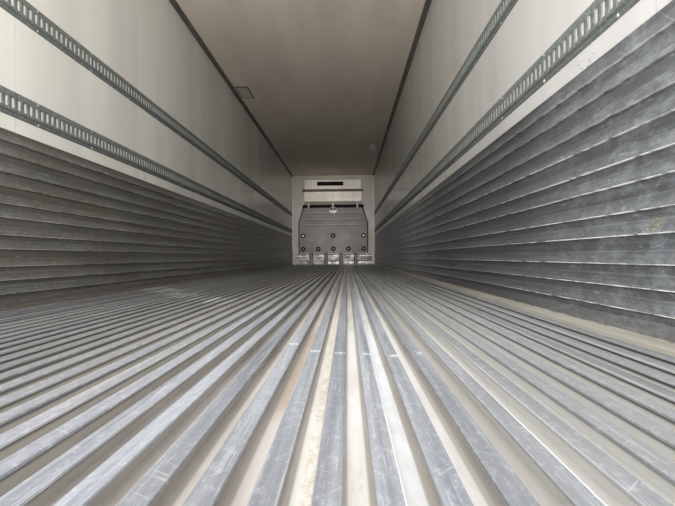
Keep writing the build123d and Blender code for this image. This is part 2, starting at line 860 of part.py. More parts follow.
# Keepers on the sill and the header, each a plate with two lugs that the cam stands between
with BuildPart() as rod_keepers:
    for side in (1, -1):
        for place, _, _ in lock_rods:
            keeper_x = side * (door_edge_x - place)
            for cam_level in cam_levels:
                lug_x = cam_half_width + keeper_gap + keeper_lug / 2
                with BuildSketch(Plane.XY.offset(cam_level - keeper_height / 2)):
                    with Locations((keeper_x, rear_y - keeper_plate / 2)):
                        Rectangle(2 * lug_x + keeper_lug, keeper_plate)
                    for lug_side in (1, -1):
                        with Locations((keeper_x + lug_side * lug_x, rear_y - keeper_depth / 2)):
                            Rectangle(keeper_lug, keeper_depth)
                extrude(amount=keeper_height)
pieces["rod_keepers"] = rod_keepers

# The left side is the right side mirrored
for right_name in [name for name in pieces if name.endswith("_right")]:
    with BuildPart() as left_piece:
        mirror(pieces[right_name].part, about=Plane.YZ)
    pieces[right_name.replace("_right", "_left")] = left_piece

os.makedirs("parts", exist_ok=True)
for name, piece in pieces.items():
    piece.part.label = name
    export_step(piece.part, f"parts/{name}.step")
print(len(pieces), "pieces")
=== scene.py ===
import bmesh
import bpy
import math
from mathutils import Matrix, Vector


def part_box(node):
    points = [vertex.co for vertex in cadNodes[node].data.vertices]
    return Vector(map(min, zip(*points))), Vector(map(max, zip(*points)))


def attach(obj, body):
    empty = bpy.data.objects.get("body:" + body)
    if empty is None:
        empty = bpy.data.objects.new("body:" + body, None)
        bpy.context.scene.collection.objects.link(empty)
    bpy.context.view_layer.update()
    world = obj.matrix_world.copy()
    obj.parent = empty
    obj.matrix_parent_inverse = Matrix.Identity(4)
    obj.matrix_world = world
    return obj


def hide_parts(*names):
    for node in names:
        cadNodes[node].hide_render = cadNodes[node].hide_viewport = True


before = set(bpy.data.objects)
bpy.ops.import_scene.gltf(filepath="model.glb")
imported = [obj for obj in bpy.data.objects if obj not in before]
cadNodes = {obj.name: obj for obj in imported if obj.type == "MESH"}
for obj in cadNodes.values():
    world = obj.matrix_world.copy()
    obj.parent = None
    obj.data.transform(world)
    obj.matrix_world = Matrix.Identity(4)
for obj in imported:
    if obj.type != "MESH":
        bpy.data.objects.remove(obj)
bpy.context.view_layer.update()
print("load box frame:", len(cadNodes), "nodes")

body = "load_box"
floorTop = 0.212
rearY = -8.2475
frontInner = 7.8065


def tone(*picked):  # a colour picked on screen, 0 to 255, as the linear one
    parts = [value / 255 for value in picked]
    return tuple(part / 12.92 if part <= 0.04045 else ((part + 0.055) / 1.055) ** 2.4 for part in parts) + (1.0,)


def mathNode(operation, reflected=False):  # an operator that adds one Math node
    def made(wire, other=0.0):
        first, second = (other, wire) if reflected else (wire, other)
        return wire.nodes.node("ShaderNodeMath", {"operation": operation}, {0: first, 1: second})
    return made


class Wire:  # a node's socket that can be used in sums
    def __init__(self, nodes, socket):
        self.nodes, self.socket = nodes, socket

    def out(self, name):
        return Wire(self.nodes, self.socket.node.outputs[name])

    __add__, __radd__ = mathNode("ADD"), mathNode("ADD", True)
    __sub__, __rsub__ = mathNode("SUBTRACT"), mathNode("SUBTRACT", True)
    __mul__, __rmul__ = mathNode("MULTIPLY"), mathNode("MULTIPLY", True)
    __truediv__, __mod__ = mathNode("DIVIDE"), mathNode("FLOORED_MODULO")
    __gt__, __lt__, __abs__ = mathNode("GREATER_THAN"), mathNode("LESS_THAN"), mathNode("ABSOLUTE")
    __or__ = mathNode("MAXIMUM")  # the stronger of two masks


class Nodes:  # a node tree, emptied, with its output
    def __init__(self, tree, output):
        self.tree = tree
        tree.nodes.clear()
        self.output = tree.nodes.new(output)

    def fill(self, inputs, values):
        for key, value in values.items():
            if isinstance(value, Wire):
                self.tree.links.new(value.socket, inputs[key])
            elif value is not None:
                inputs[key].default_value = value

    def node(self, kind, settings=None, sockets=None):
        made = self.tree.nodes.new(kind)
        for key, value in (settings or {}).items():
            setattr(made, key, value)
        self.fill(made.inputs, sockets or {})
        return Wire(self, made.outputs[0])


class Finish(Nodes):  # one material and the nodes in it
    def __init__(self, name, roughness=0.5, metallic=0.0, coat=0.0, specular=0.5):
        self.material = bpy.data.materials.new(name)
        self.material.use_nodes = True
        super().__init__(self.material.node_tree, "ShaderNodeOutputMaterial")
        self.shader = self.node("ShaderNodeBsdfPrincipled", {}, {
            "Roughness": roughness, "Metallic": metallic, "Coat Weight": coat, "Specular IOR Level": specular})
        self.fill(self.output.inputs, {0: self.shader})
        self.place = self.node("ShaderNodeTexCoord").out("Object")
        self.x = self.node("ShaderNodeSeparateXYZ", {}, {0: self.place})
        self.y, self.z = self.x.out("Y"), self.x.out("Z")

    def done(self, colour, roughness=None, normal=None, metallic=None, coat=None):
        self.fill(self.shader.socket.node.inputs, {"Base Color": colour, "Roughness": roughness, "Normal": normal,
                                                   "Metallic": metallic, "Coat Weight": coat})
        return self

    def noise(self, scale, detail=4, rough=0.55, turn=(0, 0, 0), shift=(0, 0, 0), warp=0):
        place = self.place
        if any(turn):  # turned first, so that long marks run at an angle
            place = self.node("ShaderNodeMapping", {}, {"Vector": place, "Rotation": turn})
        scale = scale if isinstance(scale, tuple) else (scale,) * 3
        place = self.node("ShaderNodeMapping", {}, {"Vector": place, "Scale": scale, "Location": shift})
        return self.node("ShaderNodeTexNoise", {}, {"Vector": place, "Scale": 1.0, "Detail": detail,
                                                    "Roughness": rough, "Distortion": warp})

    def step(self, value, low=0.3, high=0.7, kind="SMOOTHSTEP"):  # 0 below low, 1 above high; low may be the larger
        return self.node("ShaderNodeMapRange", {"interpolation_type": kind}, {0: value, 1: low, 2: high})

    def spots(self, scale, low, high, *grain, **place):  # patches where a noise is high
        return self.step(self.noise(scale, *grain, **place), low, high)

    def line(self, value, place, half, soft=0.001):  # 1 on a line, 0 away from it
        return self.step(abs(value - place), half + soft, half)

    def lines(self, value, places, half, soft=0.001):
        found = self.line(value, places[0], half, soft)
        for place in places[1:]:
            found = found | self.line(value, place, half, soft)
        return found

    def every(self, value, pitch, half, soft, shift=0.0):  # the same line again at each pitch
        return self.step(abs((value + (pitch / 2 - shift)) % pitch - pitch / 2), half + soft, half)

    def number(self, value, pitch, seed=0.0):  # a random number for each stretch of one pitch
        index = self.node("ShaderNodeMath", {"operation": "FLOOR"}, {0: value / pitch})
        return self.node("ShaderNodeTexWhiteNoise", {"noise_dimensions": "1D"}, {"W": index + (seed + 0.37)})

    def blend(self, factor, first, second, kind="MIX"):  # colours are wires or picked tones
        first, second = [tone(*part) if isinstance(part, tuple) else part for part in (first, second)]
        return self.node("ShaderNodeMix", {"data_type": "RGBA", "blend_type": kind},
                         {0: factor, 6: first, 7: second}).out(2)

    def layers(self, colour, *coats):  # each coat is a mask and the colour that it brings
        for mask, *coat in coats:
            colour = self.blend(mask, colour, *coat)
        return colour

    def shade(self, colour, value):  # a colour made darker or lighter by a number
        return self.node("ShaderNodeVectorMath", {"operation": "SCALE"}, {0: colour, "Scale": value})

    def bump(self, height, distance, strength):
        return self.node("ShaderNodeBump", {}, {"Height": height, "Distance": distance, "Strength": strength})


def boxIn(bm, one, other):  # a box between two corners
    low, high = [Vector([pick(pair) for pair in zip(one, other)]) for pick in (min, max)]
    made = bmesh.ops.create_cube(bm, size=1.0)["verts"]
    bmesh.ops.scale(bm, vec=high - low, verts=made)
    bmesh.ops.translate(bm, vec=(low + high) / 2, verts=made)
    return made


def soften(bm, verts, axis, radius):  # rounds the edges of some vertices that run along one axis
    picked = set(verts)
    edges = set(edge for vert in picked for edge in vert.link_edges if edge.other_vert(vert) in picked)
    edges = [edge for edge in edges if abs((edge.verts[0].co - edge.verts[1].co).normalized()[axis]) > 0.99]
    bmesh.ops.bevel(bm, geom=edges, offset=radius, offset_type="OFFSET", segments=2, profile=0.5,
                    affect="EDGES", material=-1, clamp_overlap=True)


def pushOut(bm, grown, vec):  # moves what an extrusion has made
    bmesh.ops.translate(bm, vec=vec, verts=[part for part in grown["geom"] if isinstance(part, bmesh.types.BMVert)])


def meshOf(bm, name):
    mesh = bpy.data.meshes.new(name)
    bm.to_mesh(mesh)
    bm.free()
    return mesh


def stamp(bm, mesh, points, angle=0, axis="Y"):  # copies of a small mesh, turned and put at each point
    turn = Matrix.Rotation(math.radians(angle), 4, axis)
    for point in points:
        copy = mesh.copy()
        copy.transform(Matrix.Translation(point) @ turn)
        bm.from_mesh(copy)
        bpy.data.meshes.remove(copy)


def makePiece(bm, name, finish, rides=body, stands=(), smooth=35):
    for face in bm.faces:
        face.smooth = True
    mesh = meshOf(bm, name)
    mesh.set_sharp_from_angle(angle=math.radians(smooth))
    piece = bpy.data.objects.new(name, mesh)
    bpy.context.scene.collection.objects.link(piece)
    mesh.materials.append(finish.material)
    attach(piece, rides)
    if stands:
        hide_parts(*stands)
    return piece


def dress(finish, *names):  # a CAD node keeps its shape and takes a finish
    for name in names:
        materials = cadNodes[name].data.materials
        if not materials:
            materials.append(finish.material)
        for index in range(len(materials)):
            materials[index] = finish.material


def domeMesh(name, radius, height, sides=6):  # a low rivet or bolt head, open below, pointing up
    bm = bmesh.new()
    bmesh.ops.create_cone(bm, cap_ends=True, segments=sides, radius1=radius, radius2=radius * 0.55, depth=height)
    bmesh.ops.translate(bm, vec=(0, 0, height / 2), verts=bm.verts)
    bottom = [face for face in bm.faces if face.normal.z < -0.9]
    bmesh.ops.delete(bm, geom=bottom, context="FACES_ONLY")
    return meshOf(bm, name)


# ducted floor: T ribs with rounded top edges on a plate, a plank along each wall
deckLook = {"ribPitch": 0.06, "ribHalf": 0.014, "stemHalf": 0.002, "topThick": 0.005, "plateTop": 0.184,
            "bottom": 0.18, "overlap": 0.001, "edgeRound": 0.0013, "ribs": 38, "plankIn": 1.1565, "plankOut": 1.2385,
            "channels": ((0.24, (234, 229, 222)), (0.30, (236, 229, 225)), (0.36, (242, 240, 234)),
                         (0.42, (236, 236, 234)), (0.48, (246, 250, 255)), (0.54, (244, 244, 243))),
            "wear": ((0.268, -7.0), (0.332, -7.108), (0.393, -7.137), (0.456, -7.153), (0.517, -7.18),
                     (0.583, -7.145))}


def deckFinish():
    look = deckLook
    pitch = look["ribPitch"]
    f = Finish("wornDeckAluminium")
    fromRib = abs(f.x % pitch - pitch / 2)
    head = f.step(f.z, 0.2064, 0.2072)
    plank = f.step(abs(f.x), 1.148, 1.151)
    rib = f.number(f.x, pitch)
    gap = f.number(f.x + pitch / 2, pitch, 7.0)
    streak = f.noise((55, 1.1, 30), 5, 0.65)
    fine = f.noise((420, 9, 40), 3, 0.6)
    cloud = f.noise((9, 1.6, 9), 5, 0.7)
    mottle = f.noise((90, 38, 90), 7, 0.8)
    right = f.step(f.x, 0.5, 0.72)
    left = f.step(f.x, 0.15, -0.2)
    far = f.step(f.y, -6.2, -3.2)

    topTone = f.layers(
        f.blend(f.step(streak, 0.3, 0.72), (134, 138, 147), (172, 176, 184)),
        (f.step(cloud, 0.5, 0.75) * 0.4, (158, 153, 146)),
        (right * 0.6, (160, 162, 162)),
        (left * (f.step(f.y, -7.6, -6.8) * 0.3 + 0.45), (154, 154, 153)),
        (f.step(mottle, 0.5, 0.66) * 0.5, (206, 209, 216)),
        (f.step(mottle, 0.42, 0.3) * 0.4, (112, 112, 116)),
        (f.step(fine, 0.58, 0.68) * 0.4, (218, 221, 227)))
    # painted shade: the tops are made darker away from x = 0.4
    topTone = f.shade(topTone, (rib * 0.3 + 0.85) * (1 - f.step(abs(f.x - 0.4), 0.2, 0.6) * 0.14))
    patch = f.line(f.y + f.x * 1.6, -6.0, 0.12, 0.2) * f.step(f.x, -0.1, -0.35) * f.step(cloud, 0.42, 0.6)
    # bright rib edges: partly rubbed wear, partly painted highlight, strongest at x = 0.4632 and 0.6432
    edge = f.step(fromRib, 0.0116, 0.013) * f.step(f.number(f.x, pitch, 3.0), 0.4, 0.95) * 0.35
    edge = edge | f.line(f.x, 0.6432, 0.0013, 0.0006) | f.line(f.x, 0.4632, 0.001, 0.0006) * 0.7
    topTone = f.layers(topTone, (patch * 0.8, (236, 238, 240)), (edge * f.step(cloud, 0.25, 0.5), (246, 246, 246)))

    floorTone = f.layers(
        f.blend(gap, (230, 228, 225), (224, 218, 210)),
        *((f.line(f.x, place, 0.026, 0.002), pale) for place, pale in look["channels"]),
        (right, (186, 186, 182)),
        (f.step(cloud, 0.42, 0.75) * 0.5, (190, 184, 174)),
        (f.step(streak, 0.58, 0.75) * 0.4, (182, 174, 162)))
    brown = f.line(f.x, 0.369, 0.008, 0.006) * f.step(mottle, 0.45, 0.6)
    stain = f.line(f.x, 0.301, 0.018, 0.005) * f.step(f.y, -7.6, -7.45) * f.step(f.y, -6.2, -6.8)
    # painted shade on the channel floor under the rib heads' overhang
    underHeadShade = f.layers(
        f.blend(f.step(cloud), (190, 185, 178), (168, 162, 154)),
        (right, (232, 231, 227)),
        (left * 0.8, (214, 210, 203)))
    shadow = f.blend(left, (78, 73, 68), (124, 119, 113))
    floorTone = f.layers(
        f.shade(floorTone, gap * 0.16 + 0.9),
        (brown * 0.6 | stain * (f.step(mottle, 0.3, 0.6) * 0.4 + 0.45), (198, 178, 154)),
        # painted shade under the heads' overhang; on the stems, a painted shadow just under the heads
        (f.step(fromRib, 0.0205, 0.0165) * 0.9, underHeadShade),
        (f.step(f.z, 0.1852, 0.187), f.blend(f.step(f.z, 0.1945, 0.2015), underHeadShade, shadow)),
        (f.spots((14, 3.5, 14), 0.6, 0.8, 6, 0.75, shift=(3, 7, 1)) * 0.5, (120, 108, 96)))

    wear = 0.0
    for place, spot in look["wear"]:
        wear = f.line(f.x, place, 0.011, 0.003) * f.line(f.y, spot, 0.006, 0.016) | wear
    wear = wear * f.spots((620, 26, 5), 0.46, 0.54, 3, 0.7)
    scratch = f.spots((12, 240, 10), 0.66, 0.7, 2, turn=(0, 0, 0.6)) | \
        f.spots((10, 260, 10), 0.67, 0.71, 2, turn=(0, 0, -0.8), shift=(4, 1, 0))
    plankTone = f.blend(f.step(f.x, 0, 0.1), (120, 116, 108), (184, 181, 170))
    plankTone = f.shade(plankTone, f.step(cloud) * 0.25 + 0.85)
    colour = f.layers(
        f.blend(head, floorTone, topTone),
        (wear * head * 0.9, (250, 250, 250)),
        (scratch * head * 0.3, (232, 233, 236)),
        (plank, f.blend(f.step(mottle, 0.55, 0.7) * 0.3, plankTone, (206, 204, 198))))
    # painted light: the floor's brightness is set by place, lower near the door and on its left there, higher deeper in
    # and in the middle channels near the door
    paintedLightFalloff = f.step(f.y, -7.1, -5.6) * 0.06 + f.step(f.y, -4.6, -1.6) * 0.2 + 0.84
    paintedLightFalloff = paintedLightFalloff * (1 - f.step(f.x, 0.0, -0.65) * f.step(f.y, -3.2, -5.4) * 0.24)
    paintedLightFalloff = paintedLightFalloff + right * f.step(f.y, -5.9, -6.9) * 0.02
    paintedLightFalloff = paintedLightFalloff + f.line(f.x, 0.45, 0.108, 0.002) * (1 - head) * f.step(f.y, -5.0, -6.8) * 0.15
    return f.done(f.shade(colour, paintedLightFalloff), 0.56 - far * 0.2 + f.step(streak) * 0.08,
                  f.bump(fine * 0.4 + mottle, 0.0004, 0.6), metallic=head * 0.3 + 0.05)


def makeDeck(finish):
    look = deckLook
    low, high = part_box("floor_deck")
    under, overlap = floorTop - look["topThick"], look["overlap"]
    bm = bmesh.new()
    boxIn(bm, (-high.x, low.y, look["bottom"]), (high.x, high.y, look["plateTop"]))
    for index in range(look["ribs"]):
        centre = (index - (look["ribs"] - 1) / 2) * look["ribPitch"]
        boxIn(bm, (centre - look["stemHalf"], low.y, look["plateTop"] - overlap),
              (centre + look["stemHalf"], high.y, under + overlap))
        head = boxIn(bm, (centre - look["ribHalf"], low.y, under), (centre + look["ribHalf"], high.y, floorTop))
        soften(bm, head, 1, look["edgeRound"])
    for side in (-1, 1):
        plank = boxIn(bm, (side * look["plankIn"], low.y, look["plateTop"]),
                      (side * look["plankOut"], high.y, floorTop))
        soften(bm, plank, 1, look["edgeRound"])
    makePiece(bm, "duct_floor", finish, stands=("floor_deck",))


makeDeck(deckFinish())
print("floor made")


# scuff liners: planks with worn lips, painted highlights on the lips and painted shade under them
scuffLook = {"lips": (0.0, 0.063, 0.129, 0.196, 0.280, 0.348, 0.432, 0.500, 0.584, 0.652, 0.736, 0.804),
             "sheetPitch": 3.05}


def scuffFinish():
    f = Finish("scuffedLinerAluminium")
    level = f.z - floorTop
    right = f.step(f.x, -0.1, 0.1)
    nearDoorLight = f.step(f.y, -5.6, -6.9)
    lips, scuffedAndLitFlats, under = 0.0, 0.0, 0.0
    for lip in scuffLook["lips"]:
        # a paler band above each lip, fading upward: partly scuffing, partly painted light on the upward-facing face
        scuffedAndLitFlat = f.step(level, lip + 0.001, lip + 0.004) * f.step(level, lip + 0.046, lip + 0.004, "LINEAR")
        # painted shade just under each lip
        dark = f.step(level, lip - 0.012, lip - 0.002) * f.step(level, lip + 0.001, lip - 0.001)
        lips, scuffedAndLitFlats, under = f.line(level, lip + 0.0008, 0.0010, 0.0014) | lips, scuffedAndLitFlat | scuffedAndLitFlats, dark | under
    streak = f.noise((1, 1.3, 60), 5, 0.65)
    fine = f.noise((1, 14, 520), 3, 0.6)
    cloud = f.noise((2, 0.9, 3.5), 6, 0.7)
    mottle = f.noise((6, 26, 90), 6, 0.75)
    smear = f.spots((2, 5, 46), 0.55, 0.72, 7, 0.8, shift=(2, 5, 9))
    # the lips are painted bright: partly rubbed wear, partly painted highlight, brighter on the right; they are made
    # less metallic to brighten them further
    wornAndLitLips = lips * f.spots((1, 12, 3), 0.3, 0.55) * (right * 0.45 + 0.5)
    wornAndLitLips = wornAndLitLips * (1 - f.step(level, 0.60, 0.64) * 0.55)
    scratch = f.spots((3, 9, 150), 0.66, 0.7, 2, turn=(0.75, 0, 0)) | \
        f.spots((3, 8, 170), 0.67, 0.71, 2, turn=(-0.6, 0, 0), shift=(1, 4, 0))
    # painted sheen on the right liner near the door
    bluishSheen = f.spots((2, 9, 22), 0.45, 0.65, 6, 0.7, shift=(7, 1, 3)) * nearDoorLight * right
    brownish = f.spots((2, 2, 9), 0.45, 0.7, 5, shift=(3, 8, 3)) * (1 - right)
    yellow = f.spots((40, 120, 120), 0.6, 0.66, 1, shift=(9, 3, 1)) * f.line(f.y, -6.96, 0.03, 0.03) * \
        f.line(level, 0.305, 0.012, 0.008) * right
    colour = f.layers(
        f.blend(f.step(cloud), (96, 99, 101), (114, 117, 119)),
        (f.step(streak, 0.35, 0.7) * 0.5, (136, 139, 142)),
        # painted shade under the lips
        (under * 0.3, (90, 88, 85)),
        (scuffedAndLitFlats * (f.step(cloud, 0.35, 0.62) * 0.5 + 0.4),
         f.blend(f.step(mottle, 0.42, 0.68), (132, 136, 138), (174, 178, 181))),
        (smear * (scuffedAndLitFlats * 0.4 + 0.12) * (right * 0.4 + 0.6), (212, 216, 220)),
        (wornAndLitLips, (255, 255, 253)),
        (scratch * 0.2, (214, 217, 220)),
        (f.spots((30, 90, 90), 0.78, 0.8, 1, shift=(5, 0, 2)) * 0.5, (226, 228, 226)),
        (f.spots((3, 16, 130), 0.64, 0.7, 3, 0.6, shift=(6, 2, 1)) * 0.4, (222, 224, 222)),
        (f.spots((1, 0.7, 150), 0.5, 0.68, 2, 0.5, shift=(0, 6, 0)) * 0.35, (92, 93, 93)),
        (bluishSheen * 0.25, (200, 207, 214)),
        (brownish * 0.35, (118, 108, 96)),
        (yellow, (224, 200, 80)),
        (1 - right, (255, 247, 234), "MULTIPLY"),
        (f.every(f.y, scuffLook["sheetPitch"], 0.0015, 0.001, 1.9) * 0.6, (60, 60, 60)),
        (f.step(level, 0.05, 0.0) * 0.5, (96, 90, 84)))
    # painted light: the liners' brightness is set by depth and side, lighter at the door and deep inside, darker
    # between, where the right one is darker still
    paintedDepthLight = f.step(f.y, -4.2, -1.0) * (right * 0.5 + 0.6) + 0.92 - right * 0.25
    return f.done(f.shade(colour, paintedDepthLight + nearDoorLight * (right * 0.2 + 0.16)), 0.42 + scuffedAndLitFlats * 0.08 + f.step(cloud) * 0.08,
                  f.bump(fine * 0.5 + mottle, 0.0006, 0.5), metallic=0.55 - (scuffedAndLitFlats * 0.15 | wornAndLitLips * 0.55))


dress(scuffFinish(), "scuff_liner_left", "scuff_liner_right")
print("scuff liners finished")


# side walls: white liner inside, white skin with riveted joints outside
wallLook = {"sheetPitch": 1.2192, "firstJoint": 0.35, "jointsBefore": 7, "rivetPitch": 0.1, "rivetShift": 0.016,
            "rivetRadius": 0.0055, "rivetHigh": 0.002, "rivetEnds": (0.2, 0.12), "edge": 0.05}


def wallFinish():
    f = Finish("whiteLinerAndSkin", roughness=0.38, coat=0.15)
    right = f.step(f.x, -0.1, 0.1)
    wave = f.noise((1, 3.2, 0.22), 3, 0.5)
    broad = f.noise((1, 0.55, 0.5), 3, 0.5, shift=(0, 3, 4))
    grime = f.noise((2, 1.7, 3.0), 7, 0.75)
    joint = f.every(f.y, wallLook["sheetPitch"], 0.0012, 0.0012, wallLook["firstJoint"])
    beside = f.every(f.y, wallLook["sheetPitch"], 0.02, 0.05, wallLook["firstJoint"])
    scuff = f.spots((2, 16, 90), 0.5, 0.6, 3, turn=(-0.35, 0, 0)) * f.line(f.y, -6.53, 0.05, 0.04) * \
        f.line(f.z, 1.094, 0.012, 0.012) * (f.x > 0)
    liner = f.layers(
        f.blend(f.step(wave), (230, 228, 220), (215, 213, 206)),
        (f.step(broad, 0.35, 0.7) * 0.5, (203, 202, 193)),
        (beside * 0.12, (240, 238, 232)),
        (joint * 0.35, (120, 116, 108)),
        (f.step(grime, 0.55, 0.78) * (f.step(f.z, 1.62, 1.1) * 0.5 + 0.1), (150, 144, 134)),
        (scuff * 0.8, (84, 80, 76)))
    # painted shade: the liner is made darker near the door
    liner = f.shade(liner, f.step(f.y, -8.0, -6.3) * 0.25 + 0.75)
    liner = f.blend(right * f.step(f.y, -3.5, -6.0), liner, (249, 249, 255), "MULTIPLY")
    marks = f.spots((3, 10, 120), 0.7, 0.76, shift=(4, 2, 8)) * f.line(f.z, 1.11, 0.035, 0.01)
    # painted shade: the right liner is made darker, under the marks
    liner = f.blend(marks * 0.5, f.shade(liner, 1 - right * 0.16), (110, 106, 100))

    skin = f.layers(
        f.blend(f.step(broad) * 0.5, (228, 228, 224), (216, 216, 211)),
        (f.spots((2, 26, 0.7), 0.55, 0.8, 5, 0.6) * f.step(f.z, 1.9, 2.9) * 0.4, (176, 172, 162)),
        (f.step(f.z, 0.62, 0.1) * (f.step(grime, 0.3, 0.75) * 0.7), (150, 142, 128)),
        (joint * 0.6, (110, 108, 104)))
    inside = f.step(abs(f.x), 1.272, 1.268)
    return f.done(f.blend(inside, skin, liner), f.step(grime, 0.4, 0.8) * 0.2 + 0.34,
                  f.bump(wave * 0.6 - joint * 0.4, 0.0015, 0.35))


def makeWallRivets(finish):
    look = wallLook
    low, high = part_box("side_wall_right")
    head = domeMesh("wallRivet", look["rivetRadius"], look["rivetHigh"])
    bm = bmesh.new()
    for side in (-1, 1):
        places = []
        joint = look["firstJoint"] - look["sheetPitch"] * look["jointsBefore"]
        while joint < high.y:
            level = low.z + look["rivetEnds"][0]
            while joint > low.y + look["edge"] and level < high.z - look["rivetEnds"][1]:
                for y in (joint - look["rivetShift"], joint + look["rivetShift"]):
                    if low.y + look["edge"] < y < high.y - look["edge"]:
                        places.append((side * high.x, y, level))
                level += look["rivetPitch"]
            joint += look["sheetPitch"]
        stamp(bm, head, places, side * 90)
    makePiece(bm, "wall_rivets", finish, smooth=50)


wallWhite = wallFinish()
dress(wallWhite, "side_wall_left", "side_wall_right")
print("side walls finished")


# plain finishes for the smaller pieces
def paintFinish(name, pale, dark, roughness=0.4, coat=0.0, grime=0.25, dirt=(120, 112, 100), bumpHigh=0.0004,
                specular=0.5):
    f = Finish(name, roughness=roughness, coat=coat, specular=specular)
    cloud = f.noise(6.0, 6, 0.65)
    spots = f.spots(6.0 * 2.3, 0.52, 0.78, 8, 0.8, shift=(3, 1, 7))
    colour = f.layers(f.blend(f.step(cloud), pale, dark), (spots * grime, dirt))
    return f.done(colour, f.step(cloud) * 0.12 + roughness, f.bump(f.noise(180.0, 3), bumpHigh, 0.5))


def brushedFinish(name, pale, dark, roughness, metallic, spangle, grime, dirt=(96, 88, 78)):
    f = Finish(name, roughness=roughness, metallic=metallic)
    brush = f.noise(90, rough=0.6)
    cell = f.node("ShaderNodeTexVoronoi", {}, {"Vector": f.place, "Scale": 70.0}).out("Color")
    value = f.node("ShaderNodeSeparateColor", {}, {0: cell})
    colour = f.shade(f.blend(f.step(brush), pale, dark), value * spangle + (1 - spangle / 2))
    colour = f.layers(colour, (f.spots(11, 0.5, 0.8, 8, 0.8, shift=(5, 2, 4)) * grime, dirt))
    return f.done(colour, f.step(f.noise(5, 6, 0.7)) * 0.15 + roughness, f.bump(brush, 0.0003, 0.4))


def ceilingFinish():
    f = Finish("ceilingAndRoofSkin", specular=0.06)
    wave = f.noise((2.4, 0.35, 1), 3)
    cloud = f.noise((1.1, 0.8, 1), 6, 0.7)
    ceiling = f.layers(
        f.blend(f.step(wave), (228, 217, 202), (214, 203, 189)),
        (f.step(cloud, 0.45, 0.75) * 0.35, (192, 180, 166)),
        (f.every(f.y, 2.44, 0.0015, 0.0015, 0.9) * 0.3, (120, 112, 102)))
    skin = f.layers(
        f.blend(f.step(cloud), (214, 215, 214), (203, 203, 200)),
        (f.spots((0.6, 3, 3), 0.5, 0.8, 8, 0.7) * 0.4, (160, 155, 145)),
        (f.every(f.y, 1.22, 0.004, 0.002) * 0.5, (120, 118, 114)),
        (f.every(f.y, 0.61, 0.02, 0.02) * 0.15, (150, 148, 144)))
    return f.done(f.blend(f.step(f.z, 2.9, 2.895), skin, ceiling), f.step(cloud) * 0.15 + 0.6,
                  f.bump(wave, 0.0012, 0.3))


def frontWallFinish():
    f = Finish("frontWallLiner", roughness=0.45)
    cloud = f.noise((1.6, 1, 1.2), 6, 0.7)
    grime = f.step(f.z, 0.9, 0.25) * f.spots((3, 1, 3), 0.35, 0.7, 7, 0.75)
    liner = f.layers(f.blend(f.step(cloud, 0.35, 0.7), (192, 183, 172), (176, 167, 156)),
                     (grime * 0.4, (140, 130, 118)))
    bugs = f.spots(26, 0.66, 0.74, 5, 0.8)
    skin = f.layers(f.blend(f.step(cloud, 0.35, 0.7), (226, 227, 225), (212, 213, 210)),
                    (bugs * 0.5, (140, 130, 112)))
    # painted shade: the intake opening cut into the wall is painted near-black inside
    intakeShade = f.step(f.y, 7.811, 7.816) * f.step(f.y, 7.904, 7.90) * f.step(abs(f.x), 0.926, 0.922) * \
        f.line(f.z, 1.927, 0.0765)
    colour = f.layers(skin, (f.step(f.y, 7.83, 7.82), liner), (intakeShade, (30, 28, 26)))
    return f.done(colour, f.step(cloud) * 0.15 + 0.36, f.bump(cloud, 0.002, 0.3))


# reflective tape on the rails and the rear sill: its white and red, and the length of a pair
tapeLook = {"white": (234, 234, 230), "red": (172, 30, 34), "pair": 0.4572}


def tapeTone(f, along):
    return f.blend(f.step(along % tapeLook["pair"], 0.2800, 0.2794), tapeLook["white"], tapeLook["red"])


def railFinish():  # mill aluminium, tape on the outer faces
    f = Finish("railAluminiumWithTape")
    brush = f.noise((90, 9, 90), rough=0.6)
    cloud = f.noise((3, 0.5, 3), 6, 0.7)
    grime = f.step(f.z, 0.34, 0.0) * f.spots((6, 2.5, 6), 0.35, 0.7, 8, 0.8)
    metal = f.layers(
        f.blend(f.step(brush), (196, 198, 200), (170, 172, 175)),
        (f.step(cloud, 0.4, 0.7) * 0.3, (150, 148, 144)),
        (grime * 0.7, (122, 113, 100)))
    tape = f.line(f.z, 0.228, 0.025, 0.0006) * f.step(abs(f.x), 1.2940, 1.2950) * f.step(abs(f.y), 7.72, 7.715)
    weave = f.every(f.y + f.z, 0.011, 0.0006, 0.0006) | f.every(f.y - f.z, 0.011, 0.0006, 0.0006)
    strip = f.shade(tapeTone(f, f.y), 1 - weave * 0.25)
    strip = f.blend(grime * 0.35, strip, (122, 113, 100))
    return f.done(f.blend(tape, metal, strip), f.step(cloud) * 0.15 + 0.4 + f.step(f.z, 2.93, 2.94) * 0.25,
                  f.bump(brush, 0.0003, 0.4), metallic=0.5 - tape * 0.5)


def frameFinish():  # stainless rear frame, the same tape along the sill
    f = Finish("stainlessRearFrame")
    brush = f.noise((9, 90, 90), rough=0.6)
    scrape = f.spots((4, 30, 60), 0.58, 0.7, 5, 0.75) * f.step(f.z, 0.5, 0.1)
    rust = f.spots(30, 0.64, 0.72, 6, 0.8, shift=(2, 2, 5)) * f.step(f.z, 0.3, 0.0)
    tape = f.line(f.z, 0.186, 0.019, 0.0006) * f.step(f.y, -8.2465, -8.2470) * f.step(abs(f.x), 1.230, 1.228)
    seam = f.line(f.z, 0.212, 0.001) | f.line(f.z, 2.839, 0.0012)
    colour = f.layers(
        f.blend(f.step(brush), (186, 188, 190), (156, 158, 161)),
        (scrape * 0.5, (112, 104, 94)),
        (rust * 0.7, (132, 84, 52)),
        (seam * 0.6, (70, 68, 66)),
        (tape, tapeTone(f, f.x + 0.14)))
    return f.done(colour, f.step(f.noise(5, 6, 0.7)) * 0.18 + 0.3, f.bump(brush, 0.0003, 0.4),
                  metallic=0.7 - tape * 0.7)


